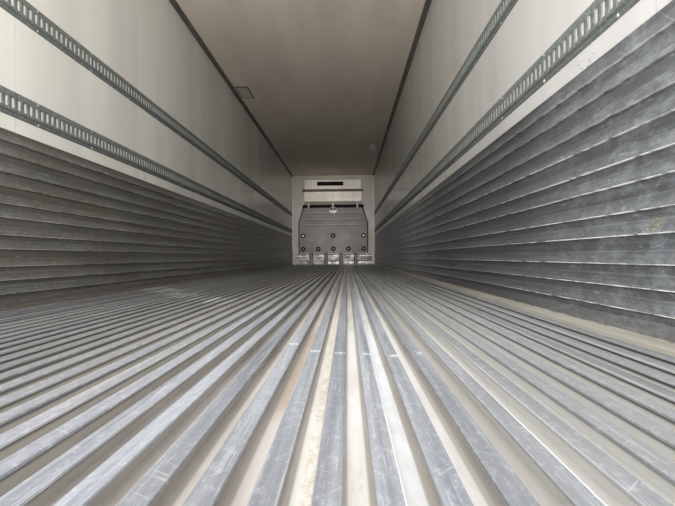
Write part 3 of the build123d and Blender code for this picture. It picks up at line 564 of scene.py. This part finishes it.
def lensFinish():  # red lenses at the rear, amber ones further forward
    f = Finish("redAndAmberLenses", roughness=0.18, coat=0.6)
    ridge = f.every(f.z, 0.0065, 0.0012, 0.0014) | f.every(f.x + f.y, 0.0065, 0.0012, 0.0014)
    colour = f.blend(f.step(f.y, -4.9, -5.1), (214, 118, 22), (160, 20, 20))
    colour = f.layers(f.shade(colour, 1 - ridge * 0.3), (f.spots(40, 0.55, 0.75) * 0.3, (120, 108, 96)))
    return f.done(colour, normal=f.bump(ridge, 0.0008, 0.5))


def unitFinish():  # moulded cover: door seams, catches and a louvred band
    f = Finish("whiteUnitCover", coat=0.4)
    cloud = f.noise(2, 6, 0.65)
    front = f.step(f.y, 8.328, 8.332)
    thin = {"half": 0.0022, "soft": 0.0012}
    seam = f.line(f.x, 0.0, **thin) * f.step(f.z, 1.74, 1.741) * f.step(f.z, 2.57, 2.569)
    seam = seam | f.line(abs(f.x), 0.785, **thin) * f.step(f.z, 0.90, 0.901) * f.step(f.z, 2.79, 2.789)
    seam = seam | f.lines(f.z, (1.742, 2.57), **thin) * f.step(abs(f.x), 0.786, 0.785)
    sideSeam = f.line(f.y, 8.02, **thin) | f.line(f.z, 1.742, **thin) * f.step(f.y, 8.019, 8.02)
    # a louvred band painted on the cover: pale slats, and dark gaps that are painted shade
    vent = f.line(f.z, 2.68, 0.07) * f.line(f.x, 0.0, 0.62) * front
    slat = f.every(f.z, 0.02, 0.005, 0.002)
    catch = f.line(abs(f.x), 0.045, 0.022) * f.lines(f.z, (1.95, 2.36), 0.05) * front
    bugs = f.spots(30, 0.66, 0.74, 5, 0.8) * f.step(f.y, 8.0, 8.3)
    colour = f.layers(
        f.blend(f.step(cloud), (230, 231, 230), (214, 215, 213)),
        (bugs * 0.45, (130, 120, 100)),
        ((seam * front | sideSeam * (1 - front)) * 0.85, (52, 52, 53)),
        (vent, f.blend(slat, (40, 40, 41), (150, 151, 152))),
        (catch, (58, 58, 60)),
        (f.spots((22, 22, 0.8), 0.56, 0.75, 5, 0.65) * 0.25, (168, 162, 150)))
    return f.done(colour, f.step(cloud) * 0.12 + 0.28,
                  f.bump(cloud - (seam * front | sideSeam) * 0.5 - vent * (1 - slat), 0.002, 0.4))


def doorFinish():  # white panels; the lining has an aluminium foot and screws
    f = Finish("whiteDoorPanels")
    lining = f.step(abs(f.x), 1.4215, 1.4225)
    cloud = f.noise(1.6, 6, 0.65)
    brush = f.noise((1, 8, 140), rough=0.6)
    foot = lining * f.step(f.z, 0.681, 0.679)
    plate = f.layers(
        f.blend(f.step(brush, 0.35, 0.7), (168, 170, 172), (140, 142, 145)),
        (f.spots((1, 12, 40), 0.56, 0.68, 6, 0.75, turn=(0.5, 0, 0)) * 0.6, (206, 207, 208)))
    rim = f.lines(f.y, (-8.215, -7.098), 0.0012) | f.lines(f.z, (0.272, 2.779), 0.0012) | f.line(f.z, 0.68, 0.0015)
    screws = f.lines(f.y, (-8.232, -7.081), 0.004) * f.every(f.z, 0.15, 0.004, 0.001) | \
        f.line(f.z, 0.66, 0.004) * f.every(f.y, 0.12, 0.004, 0.001)
    low = f.step(f.z, 0.9, 0.25) * f.spots(5, 0.4, 0.7, 8, 0.8)
    colour = f.layers(
        f.blend(f.step(cloud), (226, 225, 221), (212, 210, 205)),
        (f.spots((12, 12, 0.8), 0.55, 0.75, 6, 0.7) * 0.35, (168, 161, 149)),
        (low * 0.45, (140, 131, 118)),
        (foot, plate),
        (rim * lining * 0.7, (96, 94, 90)),
        (screws * lining, (150, 152, 154)))
    return f.done(colour, f.step(cloud) * 0.12 + 0.34, f.bump(screws - rim + brush * foot * 0.3, 0.0012, 0.5),
                  metallic=foot * 0.6)


def cornerFinish():  # aluminium outside, lined like the front wall inside
    f = Finish("frontCornerPost", roughness=0.4)
    inside = f.step(f.y, 7.8085, 7.8070) * f.step(abs(f.x), 1.2395, 1.2387)
    cloud = f.noise((1.6, 1, 1.2), 6, 0.7)
    brush = f.noise((90, 90, 9), rough=0.6)
    liner = f.layers(f.blend(f.step(cloud, 0.35, 0.7), (192, 183, 172), (176, 167, 156)),
                     (f.step(abs(f.x), 1.19, 1.215) * 0.35, (150, 141, 131)))
    metal = f.layers(f.blend(f.step(brush), (198, 200, 202), (172, 174, 177)),
                     (f.spots(26, 0.64, 0.74, 5, 0.8) * 0.4, (130, 122, 108)))
    return f.done(f.blend(inside, metal, liner), f.step(cloud) * 0.12 + 0.36, f.bump(brush, 0.0003, 0.3),
                  metallic=0.6 - inside * 0.6)


def bulkheadFinish():
    f = Finish("greyMouldedBulkhead")
    cloud = f.noise((2.2, 1, 2.2), 6, 0.65)
    levels = [floorTop + level for level in (1.147, 1.313, 1.510)]
    inside = f.step(abs(f.x), 0.89, 0.84)
    foot = f.step(f.z, 0.74, 0.56) * f.spots((6, 1, 6), 0.4, 0.65, 7, 0.75, shift=(1, 0, 6))
    colour = f.layers(
        f.blend(f.step(cloud, 0.35, 0.7), (136, 130, 123), (124, 118, 112)),
        (f.spots((0.9, 1, 0.8), 0.4, 0.7, 2, shift=(2, 0, 3)) * 0.4, (114, 108, 102)),
        # painted highlight above each groove and painted shade in it
        (f.lines(f.z, [level + 0.034 for level in levels], 0.006, 0.014) * inside * 0.35, (190, 184, 176)),
        (f.lines(f.z, levels, 0.014, 0.018) * inside * 0.6, (96, 90, 85)),
        # painted shade along the side edges, next to the wall
        (f.step(abs(f.x), 0.93, 0.99) * 0.4, (118, 111, 104)),
        (f.spots((9, 1, 30), 0.6, 0.74, 7, 0.8) * 0.25, (196, 192, 186)),
        (foot * 0.4, (96, 89, 82)))
    return f.done(colour, f.step(cloud) * 0.1 + 0.46, f.bump(f.noise(60, 3), 0.0008, 0.4))


def kickFinish():
    f = Finish("dentedKickPlate")
    dent = f.noise((7, 1, 9), rough=0.6, warp=0.6)
    # painted highlights: a bright line along the upper band and bright patches along the foot, more on the right
    highlightLine = f.line(f.z, 0.465, 0.006, 0.008) * f.spots((5, 1, 1), 0.35, 0.5, 3)
    foot = f.line(f.z, 0.266, 0.022, 0.012) * f.spots((11, 1, 16), 0.42, 0.56, 3, shift=(2, 0, 5))
    foot = foot * (f.step(f.x, -0.2, -0.1) * 0.7 + 0.3)
    black = f.spots((16, 1, 22), 0.58, 0.7, 6, 0.8, shift=(3, 0, 1)) * f.step(f.z, 0.34, 0.22)
    colour = f.layers(
        f.blend(f.step(dent, 0.4, 0.62), (156, 149, 141), (122, 115, 108)),
        (f.spots((12, 1, 150), 0.5, 0.8) * 0.3, (206, 200, 192)),
        (highlightLine | foot, (244, 240, 234)),
        (f.line(f.z, 0.318, 0.004, 0.006) * 0.8, (58, 52, 47)),
        # painted shade along the top, under the bulkhead
        (f.step(f.z, 0.494, 0.506) * 0.7, (60, 55, 51)),
        (black * 0.7, (58, 54, 50)))
    return f.done(colour, f.step(dent) * 0.2 + 0.4, f.bump(dent, 0.006, 0.5), metallic=0.3)


def postFinish():  # posts with a painted highlight down the middle of each
    f = Finish("greyMouldedPost")
    cloud = f.noise((9, 9, 5), 6, 0.7)
    colour = f.layers(f.blend(f.step(cloud, 0.35, 0.7), (84, 78, 72), (64, 59, 54)),
                      (f.lines(abs(f.x), (0.22, 0.66), 0.012, 0.006) * 0.7, (140, 133, 125)))
    return f.done(colour, f.step(cloud) * 0.2 + 0.45, f.bump(cloud, 0.002, 0.4))


def evaporatorFinish():
    f = Finish("offWhiteEvaporatorCover")
    cloud = f.noise((2.2, 1, 3.4), 5, 0.6)
    # painted shade: a dark band under the cover's lip
    band = f.step(f.z, 2.372, 2.382) * f.step(f.z, 2.459, 2.452)
    # painted highlights at the cover's ends and along two edges
    corner = f.step(f.x, 0.77, 0.80) | f.step(f.x, -0.82, -0.835) * 0.4
    edge = f.line(f.z, 2.118, 0.008, 0.008) | f.line(f.z, 2.470, 0.006, 0.008)
    # painted shade: the inside of the outlet slot is painted near-black
    outletShade = f.step(f.y, 7.6885, 7.6905) * f.line(f.x, -0.077, 0.391) * f.line(f.z, 2.618, 0.061)
    colour = f.layers(
        f.blend(f.step(cloud, 0.35, 0.7), (250, 242, 228), (236, 224, 206)),
        (f.spots((24, 1, 1.2), 0.55, 0.75, 5) * 0.4, (150, 134, 114)),
        (band * 0.9, f.blend(f.step(cloud), (96, 74, 66), (66, 50, 46))),
        (f.line(f.x, 0.655, 0.0035, 0.002) * f.step(f.z, 2.11, 2.12) * 0.5, (120, 106, 92)),
        (corner * 0.8 * (1 - band), (255, 248, 236)),
        (edge * 0.6, (255, 248, 236)),
        # painted shade on the underside at the bottom
        (f.step(f.z, 2.125, 2.09) * 0.55, (132, 122, 108)),
        (f.spots((7, 1, 9), 0.52, 0.72, 7, 0.75, shift=(2, 0, 7)) * 0.3, (176, 158, 136)),
        (outletShade, (22, 20, 19)))
    return f.done(colour, f.step(cloud) * 0.12 + 0.3 + outletShade * 0.6, f.bump(cloud, 0.006, 0.3),
                  coat=0.2 - outletShade * 0.2)


def ceilingLampFinish():  # frosted cover in a dark frame
    f = Finish("ceilingLampCover", coat=0.3)
    cloud = f.noise(30)
    left = f.x < 0
    across = left * -1.0755 + (1 - left) * 1.015
    fromMiddle = abs(f.y - (left * -0.4635 + (1 - left) * 3.6565))
    rim = f.step(abs(f.x - across), 0.074, 0.077) | f.step(fromMiddle, 0.252, 0.255)
    colour = f.layers(
        f.blend(f.step(cloud), (208, 202, 191), (190, 184, 173)),
        (rim, (62, 58, 54)),
        (f.line(fromMiddle, 0.262, 0.004) * f.line(f.x, across, 0.004), (170, 168, 164)))
    return f.done(colour, f.step(cloud) * 0.1 + 0.3, f.bump(f.every(f.y, 0.012, 0.002, 0.003) * (1 - rim), 0.0006, 0.4))


def railBoltFinish():  # plated bolts, one of them yellow
    f = Finish("platedRailBolt", metallic=0.4)
    cloud = f.noise(60)
    yellow = f.line(f.y, -6.159, 0.2) * f.line(f.z, 1.158, 0.02) * (f.x > 0)
    colour = f.layers(f.blend(f.step(cloud), (168, 170, 168), (128, 131, 130)), (yellow, (200, 186, 122)))
    return f.done(colour, f.step(cloud) * 0.15 + 0.4, f.bump(cloud, 0.0006, 0.4))


def fittingFinish():  # oval housing with painted shade on its upper half, its left half and the notch between its lobes; grey brackets
    f = Finish("whiteMouldedFitting")
    cloud = f.noise(6, 6, 0.65)
    colour = f.layers(
        f.blend(f.step(cloud), (240, 236, 228), (222, 217, 208)),
        (f.step(f.x, 0.01, -0.02) * 0.5, (176, 170, 162)),
        (f.step(f.z, 1.818, 1.842) * 0.8, (104, 98, 91)),
        (f.line(f.x, 0.0, 0.005, 0.008) * f.step(f.z, 1.79, 1.80) * 0.8, (70, 65, 60)),
        (f.step(abs(f.x), 0.4, 0.5) | f.step(f.z, 1.925, 1.93), (186, 179, 169)))
    return f.done(colour, f.step(cloud) * 0.12 + 0.35, f.bump(cloud, 0.001, 0.3))


galvanised = brushedFinish("galvanisedTrackSteel", (138, 143, 141), (110, 115, 112), roughness=0.5, metallic=0.4,
                           spangle=0.25, grime=0.3, dirt=(86, 86, 78))
mill = railFinish()
hardware = brushedFinish("galvanisedDoorHardware", (178, 180, 182), (138, 141, 144), roughness=0.42, metallic=0.6,
                         spangle=0.15, grime=0.35)
chassisBlack = paintFinish("blackChassisPaint", (62, 63, 66), (44, 45, 47), roughness=0.5, grime=0.5,
                           dirt=(120, 110, 98))
foam = paintFinish("foamPanelEdge", (196, 190, 168), (180, 172, 148), roughness=0.8)
cove = paintFinish("darkCoveStrip", (104, 99, 92), (82, 77, 71), roughness=0.55, grime=0.3)
grilleBlack = paintFinish("blackGrille", (52, 52, 53), (38, 38, 39), roughness=0.5, grime=0.4, dirt=(110, 102, 90))
rubber = paintFinish("blackBumperRubber", (52, 51, 50), (36, 36, 35), roughness=0.75, grime=0.6, dirt=(104, 98, 90),
                     bumpHigh=0.001)
seal = paintFinish("blackDoorSeal", (48, 47, 46), (34, 34, 33), roughness=0.6, grime=0.4, dirt=(110, 106, 98))
unitWhite = unitFinish()

dress(ceilingFinish(), "roof")
dress(frontWallFinish(), "front_wall")
dress(bulkheadFinish(), "bulkhead")
dress(kickFinish(), "kick_plate")
dress(evaporatorFinish(), "evaporator_upper", "evaporator_lower")
dress(mill, "base_rail_left", "base_rail_right", "top_rail_left", "top_rail_right", "front_rails")
dress(cornerFinish(), "corner_post_left", "corner_post_right")
dress(frameFinish(), "rear_frame", "rear_sill")
dress(hardware, "hinge_lugs", "rod_keepers", "door_hinges_left", "door_hinges_right", "door_rods_left",
      "door_rods_right", "door_guides_left", "door_guides_right")
dress(chassisBlack, "crossmembers", "coupler_plate")
dress(foam, "floor_core")
dress(cove, "coves")
dress(ceilingLampFinish(), "ceiling_lamps")
dress(fittingFinish(), "bulkhead_fittings")
dress(postFinish(), "bulkhead_posts")
dress(unitWhite, "unit_housing")
dress(grilleBlack, "unit_grille")
dress(rubber, "dock_bumpers")
dress(seal, "door_gasket_left", "door_gasket_right")
dress(doorFinish(), "door_panel_left", "door_panel_right")
dress(lensFinish(), "lamps")
makeWallRivets(wallWhite)
print("finishes put on")


# cargo tracks: hat section rails with upright slots, bolted through their flanges
trackLook = {"pitch": 0.0508, "slotWide": 0.0195, "slotHigh": 0.047, "corner": 0.004, "sheet": 0.0025,
             "heights": (0.0635, 0.0435, 0.0375), "proud": 0.0125, "inset": 0.006,
             "boltPitch": 0.6096, "boltFirst": 0.16, "boltRadius": 0.0085, "boltHigh": 0.0045,
             "backGap": 0.0006, "backHalf": 0.034, "backEnd": 0.001}


def trackCell(side, liner, level, pitch):  # one pitch of the rail with its slot
    look = trackLook
    deep = liner - look["sheet"]
    high, low, face = look["heights"]
    profile = ((deep, high), (deep, low), (liner - look["proud"], face))
    points = list(profile) + [(x, -z) for x, z in reversed(profile)]
    bm = bmesh.new()
    verts = [bm.verts.new((side * x, 0, level + z)) for x, z in points]
    edges = [bm.edges.new(pair) for pair in zip(verts, verts[1:])]
    pushOut(bm, bmesh.ops.extrude_edge_only(bm, edges=edges), (0, pitch, 0))
    middle = max(bm.faces, key=lambda face: face.calc_area())
    bmesh.ops.inset_individual(bm, faces=[middle], thickness=look["inset"])
    centre = middle.calc_center_median()
    scale = (1, look["slotWide"] / (pitch - 2 * look["inset"]), look["slotHigh"] / (2 * face - 2 * look["inset"]))
    bmesh.ops.scale(bm, vec=scale, verts=middle.verts, space=Matrix.Translation(-centre))
    corners = list(middle.verts)
    bmesh.ops.delete(bm, geom=[middle], context="FACES_ONLY")
    bmesh.ops.bevel(bm, geom=corners, offset=look["corner"], segments=1, profile=0.5, affect="VERTICES", material=-1)
    bmesh.ops.recalc_face_normals(bm, faces=bm.faces)
    if sum(face.normal.x for face in bm.faces) * side > 0:
        bmesh.ops.reverse_faces(bm, faces=bm.faces)
    return meshOf(bm, "trackCell")


def makeTrack(node, finish, boltFinish, backFinish):
    look = trackLook
    low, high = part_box(node)
    side = 1 if low.x > 0 else -1
    liner = max(abs(low.x), abs(high.x))
    level = (low.z + high.z) / 2
    count = round((high.y - low.y) / look["pitch"])
    pitch = (high.y - low.y) / count
    bm = bmesh.new()
    stamp(bm, trackCell(side, liner, level, pitch), [(0, low.y + index * pitch, 0) for index in range(count)])
    bmesh.ops.remove_doubles(bm, verts=bm.verts, dist=0.0002)
    rail = makePiece(bm, node.replace("cargo_track", "slotted_rail"), finish, stands=(node,),
                     smooth=30)
    wall = rail.modifiers.new("sheet", "SOLIDIFY")
    wall.thickness = look["sheet"]
    wall.offset = -1
    bolts = bmesh.new()
    places = []
    y = low.y + look["boltFirst"]
    flange = (look["heights"][0] + look["heights"][1]) / 2
    while y < high.y:
        places += [(side * (liner - look["sheet"]), y, level + way * flange) for way in (-1, 1)]
        y += look["boltPitch"]
    stamp(bolts, domeMesh("trackBolt", look["boltRadius"], look["boltHigh"], 8), places, side * -90)
    makePiece(bolts, node.replace("cargo_track", "rail_bolts"), boltFinish, smooth=50)
    back = bmesh.new()  # a white sheet just behind the rail's face stands in for the liner, so the slots show it lit instead of in the recess's shade
    boxIn(back, (side * (liner - look["proud"] + look["sheet"] + look["backGap"]), low.y + look["backEnd"],
                 level - look["backHalf"]),
          (side * liner, high.y - look["backEnd"], level + look["backHalf"]))
    makePiece(back, node.replace("cargo_track", "rail_backing"), backFinish)


railBolt = railBoltFinish()
for trackNode in ("cargo_track_lower_left", "cargo_track_lower_right", "cargo_track_upper_left",
                  "cargo_track_upper_right"):
    makeTrack(trackNode, galvanised, railBolt, wallWhite)
print("cargo tracks made")


# bulkhead: cup fasteners, dark strips of painted shade along its sides, trim in the corners of the front wall painted
# bright as a highlight
# a disc is its radius, its depth, its sides and how far it narrows
bulkheadLook = {"cups": ((0.460, (-0.9, -0.45, 0.0, 0.45, 0.9)), (0.855, (-0.9, 0.0, 0.9))), "face": 7.6915,
                "ring": (0.070, 0.004, 28, 0.97), "washer": (0.029, 0.008, 20, 0.93), "stud": (0.013, 0.007, 6),
                "cap": (0.034, 0.02, 20, 0.6), "capsAbove": 0.8, "capsBeyond": 0.5,
                "trimWide": 0.024, "trimPlace": 1.222, "trimDeep": 0.012, "trimEnds": (0.62, 2.80), "trimRound": 0.004,
                "shadeStripWide": 0.028, "shadeStripFace": 7.712, "shadeStripDeep": 0.06,
                "shadeStripLine": ((1.010, 0.556), (1.010, 1.452), (0.875, 1.902)),
                "screen": (0.915, 7.835, 7.845), "screenEnds": (1.856, 1.998), "wires": 61, "wirePitch": 0.03,
                "wireHalf": 0.003, "wireFront": 7.829, "ports": (-0.051, 0.051), "portPlace": (7.5985, 1.847),
                "port": (0.028, 0.006, 20)}
# dark finish for the cup linings and for pieces that are painted shade: the side strips, the screen's backing sheet and
# the housing's ports
darkLiningAndShade = paintFinish("darkCupLiningAndPaintedShade", (40, 37, 34), (28, 26, 24), roughness=0.9, grime=0.2, specular=0.1)
washerGrey = paintFinish("greyCupWasher", (150, 145, 138), (128, 123, 117), roughness=0.5, grime=0.3)
brightCap = paintFinish("whiteCapNut", (250, 248, 242), (238, 234, 226), roughness=0.25, coat=0.5, grime=0.1)
trimHighlight = paintFinish("warmCornerTrimHighlight", (240, 232, 220), (226, 217, 204), roughness=0.5)


def discAt(bm, centre, radius, deep, sides=24, tip=1.0):  # a disc whose face looks back along the box
    made = bmesh.ops.create_cone(bm, cap_ends=True, segments=sides, radius1=radius, radius2=radius * tip,
                                 depth=deep, matrix=Matrix.Rotation(math.pi / 2, 4, "X"))["verts"]
    bmesh.ops.translate(bm, vec=Vector(centre) - Vector((0, deep / 2, 0)), verts=made)


def makeBulkheadParts():
    look = bulkheadLook
    rings, washers, caps = bmesh.new(), bmesh.new(), bmesh.new()
    top = look["face"] - look["ring"][1]
    for level, places in look["cups"]:
        for place in places:
            z = floorTop + level
            discAt(rings, (place, look["face"], z), *look["ring"])
            if level > look["capsAbove"] and abs(place) > look["capsBeyond"]:
                discAt(caps, (place, top, z), *look["cap"])
            else:
                discAt(washers, (place, top, z), *look["washer"])
                discAt(washers, (place, top - look["washer"][1], z), *look["stud"])
    makePiece(rings, "bulkhead_cup_rings", darkLiningAndShade)
    makePiece(washers, "bulkhead_washers", washerGrey)
    makePiece(caps, "bulkhead_cap_nuts", brightCap)

    # trim strips in the front wall's corners, painted bright as the corner highlight
    trims = bmesh.new()
    inner, outer = look["trimPlace"] - look["trimWide"] / 2, look["trimPlace"] + look["trimWide"] / 2
    low, high = look["trimEnds"]
    for side in (-1, 1):
        strip = boxIn(trims, (side * inner, frontInner - look["trimDeep"], low), (side * outer, frontInner, high))
        soften(trims, strip, 2, look["trimRound"])
    makePiece(trims, "front_corner_trims", trimHighlight)

    shadeStrip = bmesh.new()  # dark strips between the bulkhead's edge and the wall: painted shade of the gap
    for side in (-1, 1):
        inner, outer = [[shadeStrip.verts.new((side * (x + wide), look["shadeStripFace"], z)) for x, z in look["shadeStripLine"]]
                        for wide in (0, look["shadeStripWide"])]
        for index in range(len(inner) - 1):
            shadeStrip.faces.new((inner[index], inner[index + 1], outer[index + 1], outer[index]))
    bmesh.ops.recalc_face_normals(shadeStrip, faces=shadeStrip.faces)
    pushOut(shadeStrip, bmesh.ops.extrude_face_region(shadeStrip, geom=list(shadeStrip.faces)), (0, look["shadeStripDeep"], 0))
    bmesh.ops.recalc_face_normals(shadeStrip, faces=shadeStrip.faces)
    makePiece(shadeStrip, "bulkhead_side_shade_strips", darkLiningAndShade)

    screen = bmesh.new()  # wires over the return air opening, on a dark sheet that is painted shade of the opening
    half, front, back = look["screen"]
    low, high = look["screenEnds"]
    boxIn(screen, (-half, front, low), (half, back, high))
    for index in range(look["wires"]):
        x = -0.9 + index * look["wirePitch"]
        boxIn(screen, (x - look["wireHalf"], look["wireFront"], low), (x + look["wireHalf"], front, high))
    makePiece(screen, "return_air_screen", darkLiningAndShade)

    eyes = bmesh.new()  # dark discs on the oval housing: painted shade in its two ports
    for place in look["ports"]:
        discAt(eyes, (place, *look["portPlace"]), *look["port"])
    makePiece(eyes, "oval_housing_ports", darkLiningAndShade)


makeBulkheadParts()
print("bulkhead parts made")


# outside: rivets and bolts in rows, lamp bases, louvres on the nose unit's sides
# a row is where it starts, its pitch and how many stand in it
outsideLook = {"rivet": (0.006, 0.002), "bolt": (0.009, 0.0035), "skin": 1.2955,
               "railRow": (-8.08, 0.15, 106), "rows": (0.272, 0.298, 2.812, 2.928),
               "noseRow": (0.36, 0.1, 25), "noseAcross": 1.136, "footRow": (-1.05, 0.1, 22), "footLevel": 0.335,
               "postRow": (0.26, 0.11, 24), "postAcross": 1.252, "hinges": (0.370, 1.140, 1.911, 2.681),
               "hingeClear": 0.06, "headAcross": (0.45, 0.56, 0.67, 0.78), "headLevels": (2.856, 2.926),
               "strapAcross": 1.3437, "strapPlaces": (-8.075, -8.115, -8.155),
               "base": (0.052, 0.020, 0.005), "markers": (7.406, -0.170, -5.6975), "markerLevel": 0.155,
               "noseLamp": 1.0805, "noseLampEnds": (2.847, 2.887),
               "rearLamps": (-1.1455, 1.1455, -0.18, 0, 0.18), "rearLampEnds": (2.8705, 2.9105),
               "tailLamps": (-0.7355, -0.5995, 0.5995, 0.7355), "tailLevel": 0.106, "tailBase": (0.061, 0.006, 28, 0.95),
               "louvres": (1.05, 0.045, 9), "louvreLong": 0.22, "louvreHalf": 0.006, "louvreHigh": 0.018,
               "louvrePlace": (0.912, 8.125), "louvreSlope": (0.1, 0.43), "slatRound": 0.003,
               "bars": 20, "barHalf": 0.006, "barProud": 0.008, "barEnds": (0.012, 0.02), "barSink": 0.001,
               "stays": (-0.32, 0, 0.32), "stayHalf": 0.009, "stayProud": 0.0055, "stayEnds": 0.01}


def rowOf(row):
    first, pitch, count = row
    return [first + index * pitch for index in range(count)]


def makeOutside():
    look = outsideLook
    sides = (-1, 1)
    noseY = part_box("front_wall")[1].y
    head = domeMesh("rowRivet", *look["rivet"])
    bolt = domeMesh("frameBolt", *look["bolt"])
    rivets = bmesh.new()
    for side in sides:
        stamp(rivets, head, [(side * look["skin"], y, level) for level in look["rows"] for y in rowOf(look["railRow"])],
              side * 90)
    stamp(rivets, head, [(side * look["noseAcross"], noseY, level) for side in sides for level in rowOf(look["noseRow"])]
          + [(x, noseY, look["footLevel"]) for x in rowOf(look["footRow"])], -90, "X")
    makePiece(rivets, "rail_rivets", mill, smooth=50)

    bolts = bmesh.new()
    levels = [level for level in rowOf(look["postRow"])
              if all(abs(level - hinge) > look["hingeClear"] for hinge in look["hinges"])]
    stamp(bolts, bolt, [(side * look["postAcross"], rearY, level) for side in sides for level in levels]
          + [(side * x, rearY, level) for side in sides for x in look["headAcross"] for level in look["headLevels"]],
          90, "X")
    makePiece(bolts, "frame_bolts", hardware, smooth=50)

    bases = bmesh.new()
    half, up, deep = look["base"]
    for side in sides:
        for y in look["markers"]:
            boxIn(bases, (side * look["skin"], y - half, look["markerLevel"] - up),
                  (side * (look["skin"] + deep), y + half, look["markerLevel"] + up))
        low, high = look["noseLampEnds"]
        boxIn(bases, (side * look["noseLamp"] - half, noseY, low), (side * look["noseLamp"] + half, noseY + deep, high))
    low, high = look["rearLampEnds"]
    for x in look["rearLamps"]:
        boxIn(bases, (x - half, rearY - deep, low), (x + half, rearY, high))
    for x in look["tailLamps"]:
        discAt(bases, (x, rearY, look["tailLevel"]), *look["tailBase"])
    makePiece(bases, "lamp_bases", rubber)

    slats = bmesh.new()
    half, long = look["louvreHalf"], look["louvreLong"] / 2
    for side in sides:
        for level in rowOf(look["louvres"]):
            verts = boxIn(slats, (-half, -long, level), (half, long, level + look["louvreHigh"]))
            soften(slats, verts, 1, look["slatRound"])
        fresh = [vert for vert in slats.verts if abs(vert.co.x) < 0.05]
        x, y = look["louvrePlace"]
        turn = Matrix.Rotation(side * math.atan2(*look["louvreSlope"]), 4, "Z")
        bmesh.ops.transform(slats, matrix=Matrix.Translation((side * x, y, 0)) @ turn, verts=fresh)
    makePiece(slats, "unit_side_louvres", unitWhite)

    low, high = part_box("unit_grille")
    bars = bmesh.new()
    half, back = look["barHalf"], high.y - look["barSink"]
    endX, endZ = look["barEnds"]
    for index in range(look["bars"]):
        level = low.z + endZ + index * (high.z - low.z - 2 * endZ) / (look["bars"] - 1)
        bar = boxIn(bars, (low.x + endX, back, level - half), (high.x - endX, high.y + look["barProud"], level + half))
        soften(bars, bar, 0, look["slatRound"])
    for x in look["stays"]:
        boxIn(bars, (x - look["stayHalf"], back, low.z + look["stayEnds"]),
              (x + look["stayHalf"], high.y + look["stayProud"], high.z - look["stayEnds"]))
    makePiece(bars, "unit_grille_bars", grilleBlack)

    for side, name in ((-1, "left"), (1, "right")):
        strapBolts = bmesh.new()
        stamp(strapBolts, bolt, [(side * look["strapAcross"], y, level)
                                 for level in look["hinges"] for y in look["strapPlaces"]], side * -90)
        makePiece(strapBolts, "strap_bolts_" + name, hardware, rides="door_" + name, smooth=50)


makeOutside()
print("outside details made")


# floor, backdrop, light and camera; a lamp is its kind, power, place, turn in degrees and settings
stageLook = {"floorHalf": 60.0, "pale": (226, 226, 226), "paler": (232, 232, 232),
             "skyTone": (0.985, 0.99, 1.0, 1.0), "skyLevel": 0.85}
lampLook = {
    "doorwayLight": ("AREA", 111.0, (0.11, rearY + 0.03, 1.53), (90, 0, 0), {"size": 2.2, "size_y": 2.55, "spread": 130}),
    "frontBounce": ("AREA", 0.9, (0, 7.25, 1.55), (-90, 0, 0), {"size": 2.3, "size_y": 2.5}),
    "frontFill": ("AREA", 2.7, (0, 6.4, 1.5), (90, 0, 0), {"size": 2.3, "size_y": 2.2, "spread": 100}),
    "frontFacingSun": ("SUN", 0.8, (0, -20, 6), (88, 0, 0), {"angle": 9}),
    "keySun": ("SUN", 0.5, (-10, -10, 20), (38, -24, 0), {"angle": 25})}
cameraLook = {"place": (0.411, -8.4135, 0.439), "turn": 1.03, "tilt": 90.39, "roll": -0.59, "focalPixels": 541.0,
              "widePixels": 675.0, "sensor": 36.0, "clip": (0.02, 200.0)}


def addObject(name, data):
    made = bpy.data.objects.new(name, data)
    bpy.context.scene.collection.objects.link(made)
    return made


def makeStage():
    bm = bmesh.new()
    bmesh.ops.create_grid(bm, x_segments=1, y_segments=1, size=stageLook["floorHalf"])
    f = Finish("paleStudioFloor", roughness=0.8)
    f.done(f.blend(f.noise(0.5, 2), stageLook["pale"], stageLook["paler"]))
    floor = addObject("studioFloor", meshOf(bm, "studioFloor"))
    floor.data.materials.append(f.material)

    world = bpy.data.worlds.new("studioWorld")
    bpy.context.scene.world = world
    world.use_nodes = True
    w = Nodes(world.node_tree, "ShaderNodeOutputWorld")
    path = w.node("ShaderNodeLightPath").out("Is Camera Ray")
    seen = path | path.out("Is Glossy Ray") | path.out("Is Transmission Ray")
    light = w.node("ShaderNodeBackground", {}, {0: stageLook["skyTone"], 1: stageLook["skyLevel"]})
    white = w.node("ShaderNodeBackground", {}, {0: (1.0, 1.0, 1.0, 1.0), 1: 1.0})
    w.fill(w.output.inputs, {0: w.node("ShaderNodeMixShader", {}, {0: seen, 1: light, 2: white})})


def makeLamps():
    for name, (kind, power, place, turn, settings) in lampLook.items():
        data = bpy.data.lights.new(name, kind)
        data.energy = power
        if kind == "AREA":
            data.shape = "RECTANGLE"
        for key, value in settings.items():
            setattr(data, key, math.radians(value) if key in ("spread", "angle") else value)
        lamp = addObject(name, data)
        lamp.location = place
        lamp.rotation_euler = [math.radians(angle) for angle in turn]
        lamp.visible_camera = False


def makeCamera():
    look = cameraLook
    data = bpy.data.cameras.new("photoCamera")
    data.sensor_width = look["sensor"]
    data.lens = look["focalPixels"] / look["widePixels"] * look["sensor"]
    data.clip_start, data.clip_end = look["clip"]
    camera = addObject("photoCamera", data)
    turn = (Matrix.Rotation(math.radians(look["turn"]), 4, "Z") @ Matrix.Rotation(math.radians(look["tilt"]), 4, "X")
            @ Matrix.Rotation(math.radians(look["roll"]), 4, "Z"))
    camera.matrix_world = Matrix.Translation(look["place"]) @ turn
    bpy.context.scene.camera = camera


makeStage()
makeLamps()
makeCamera()
bpy.context.scene.view_settings.view_transform = "Standard"
print("stage, lamps and camera set")
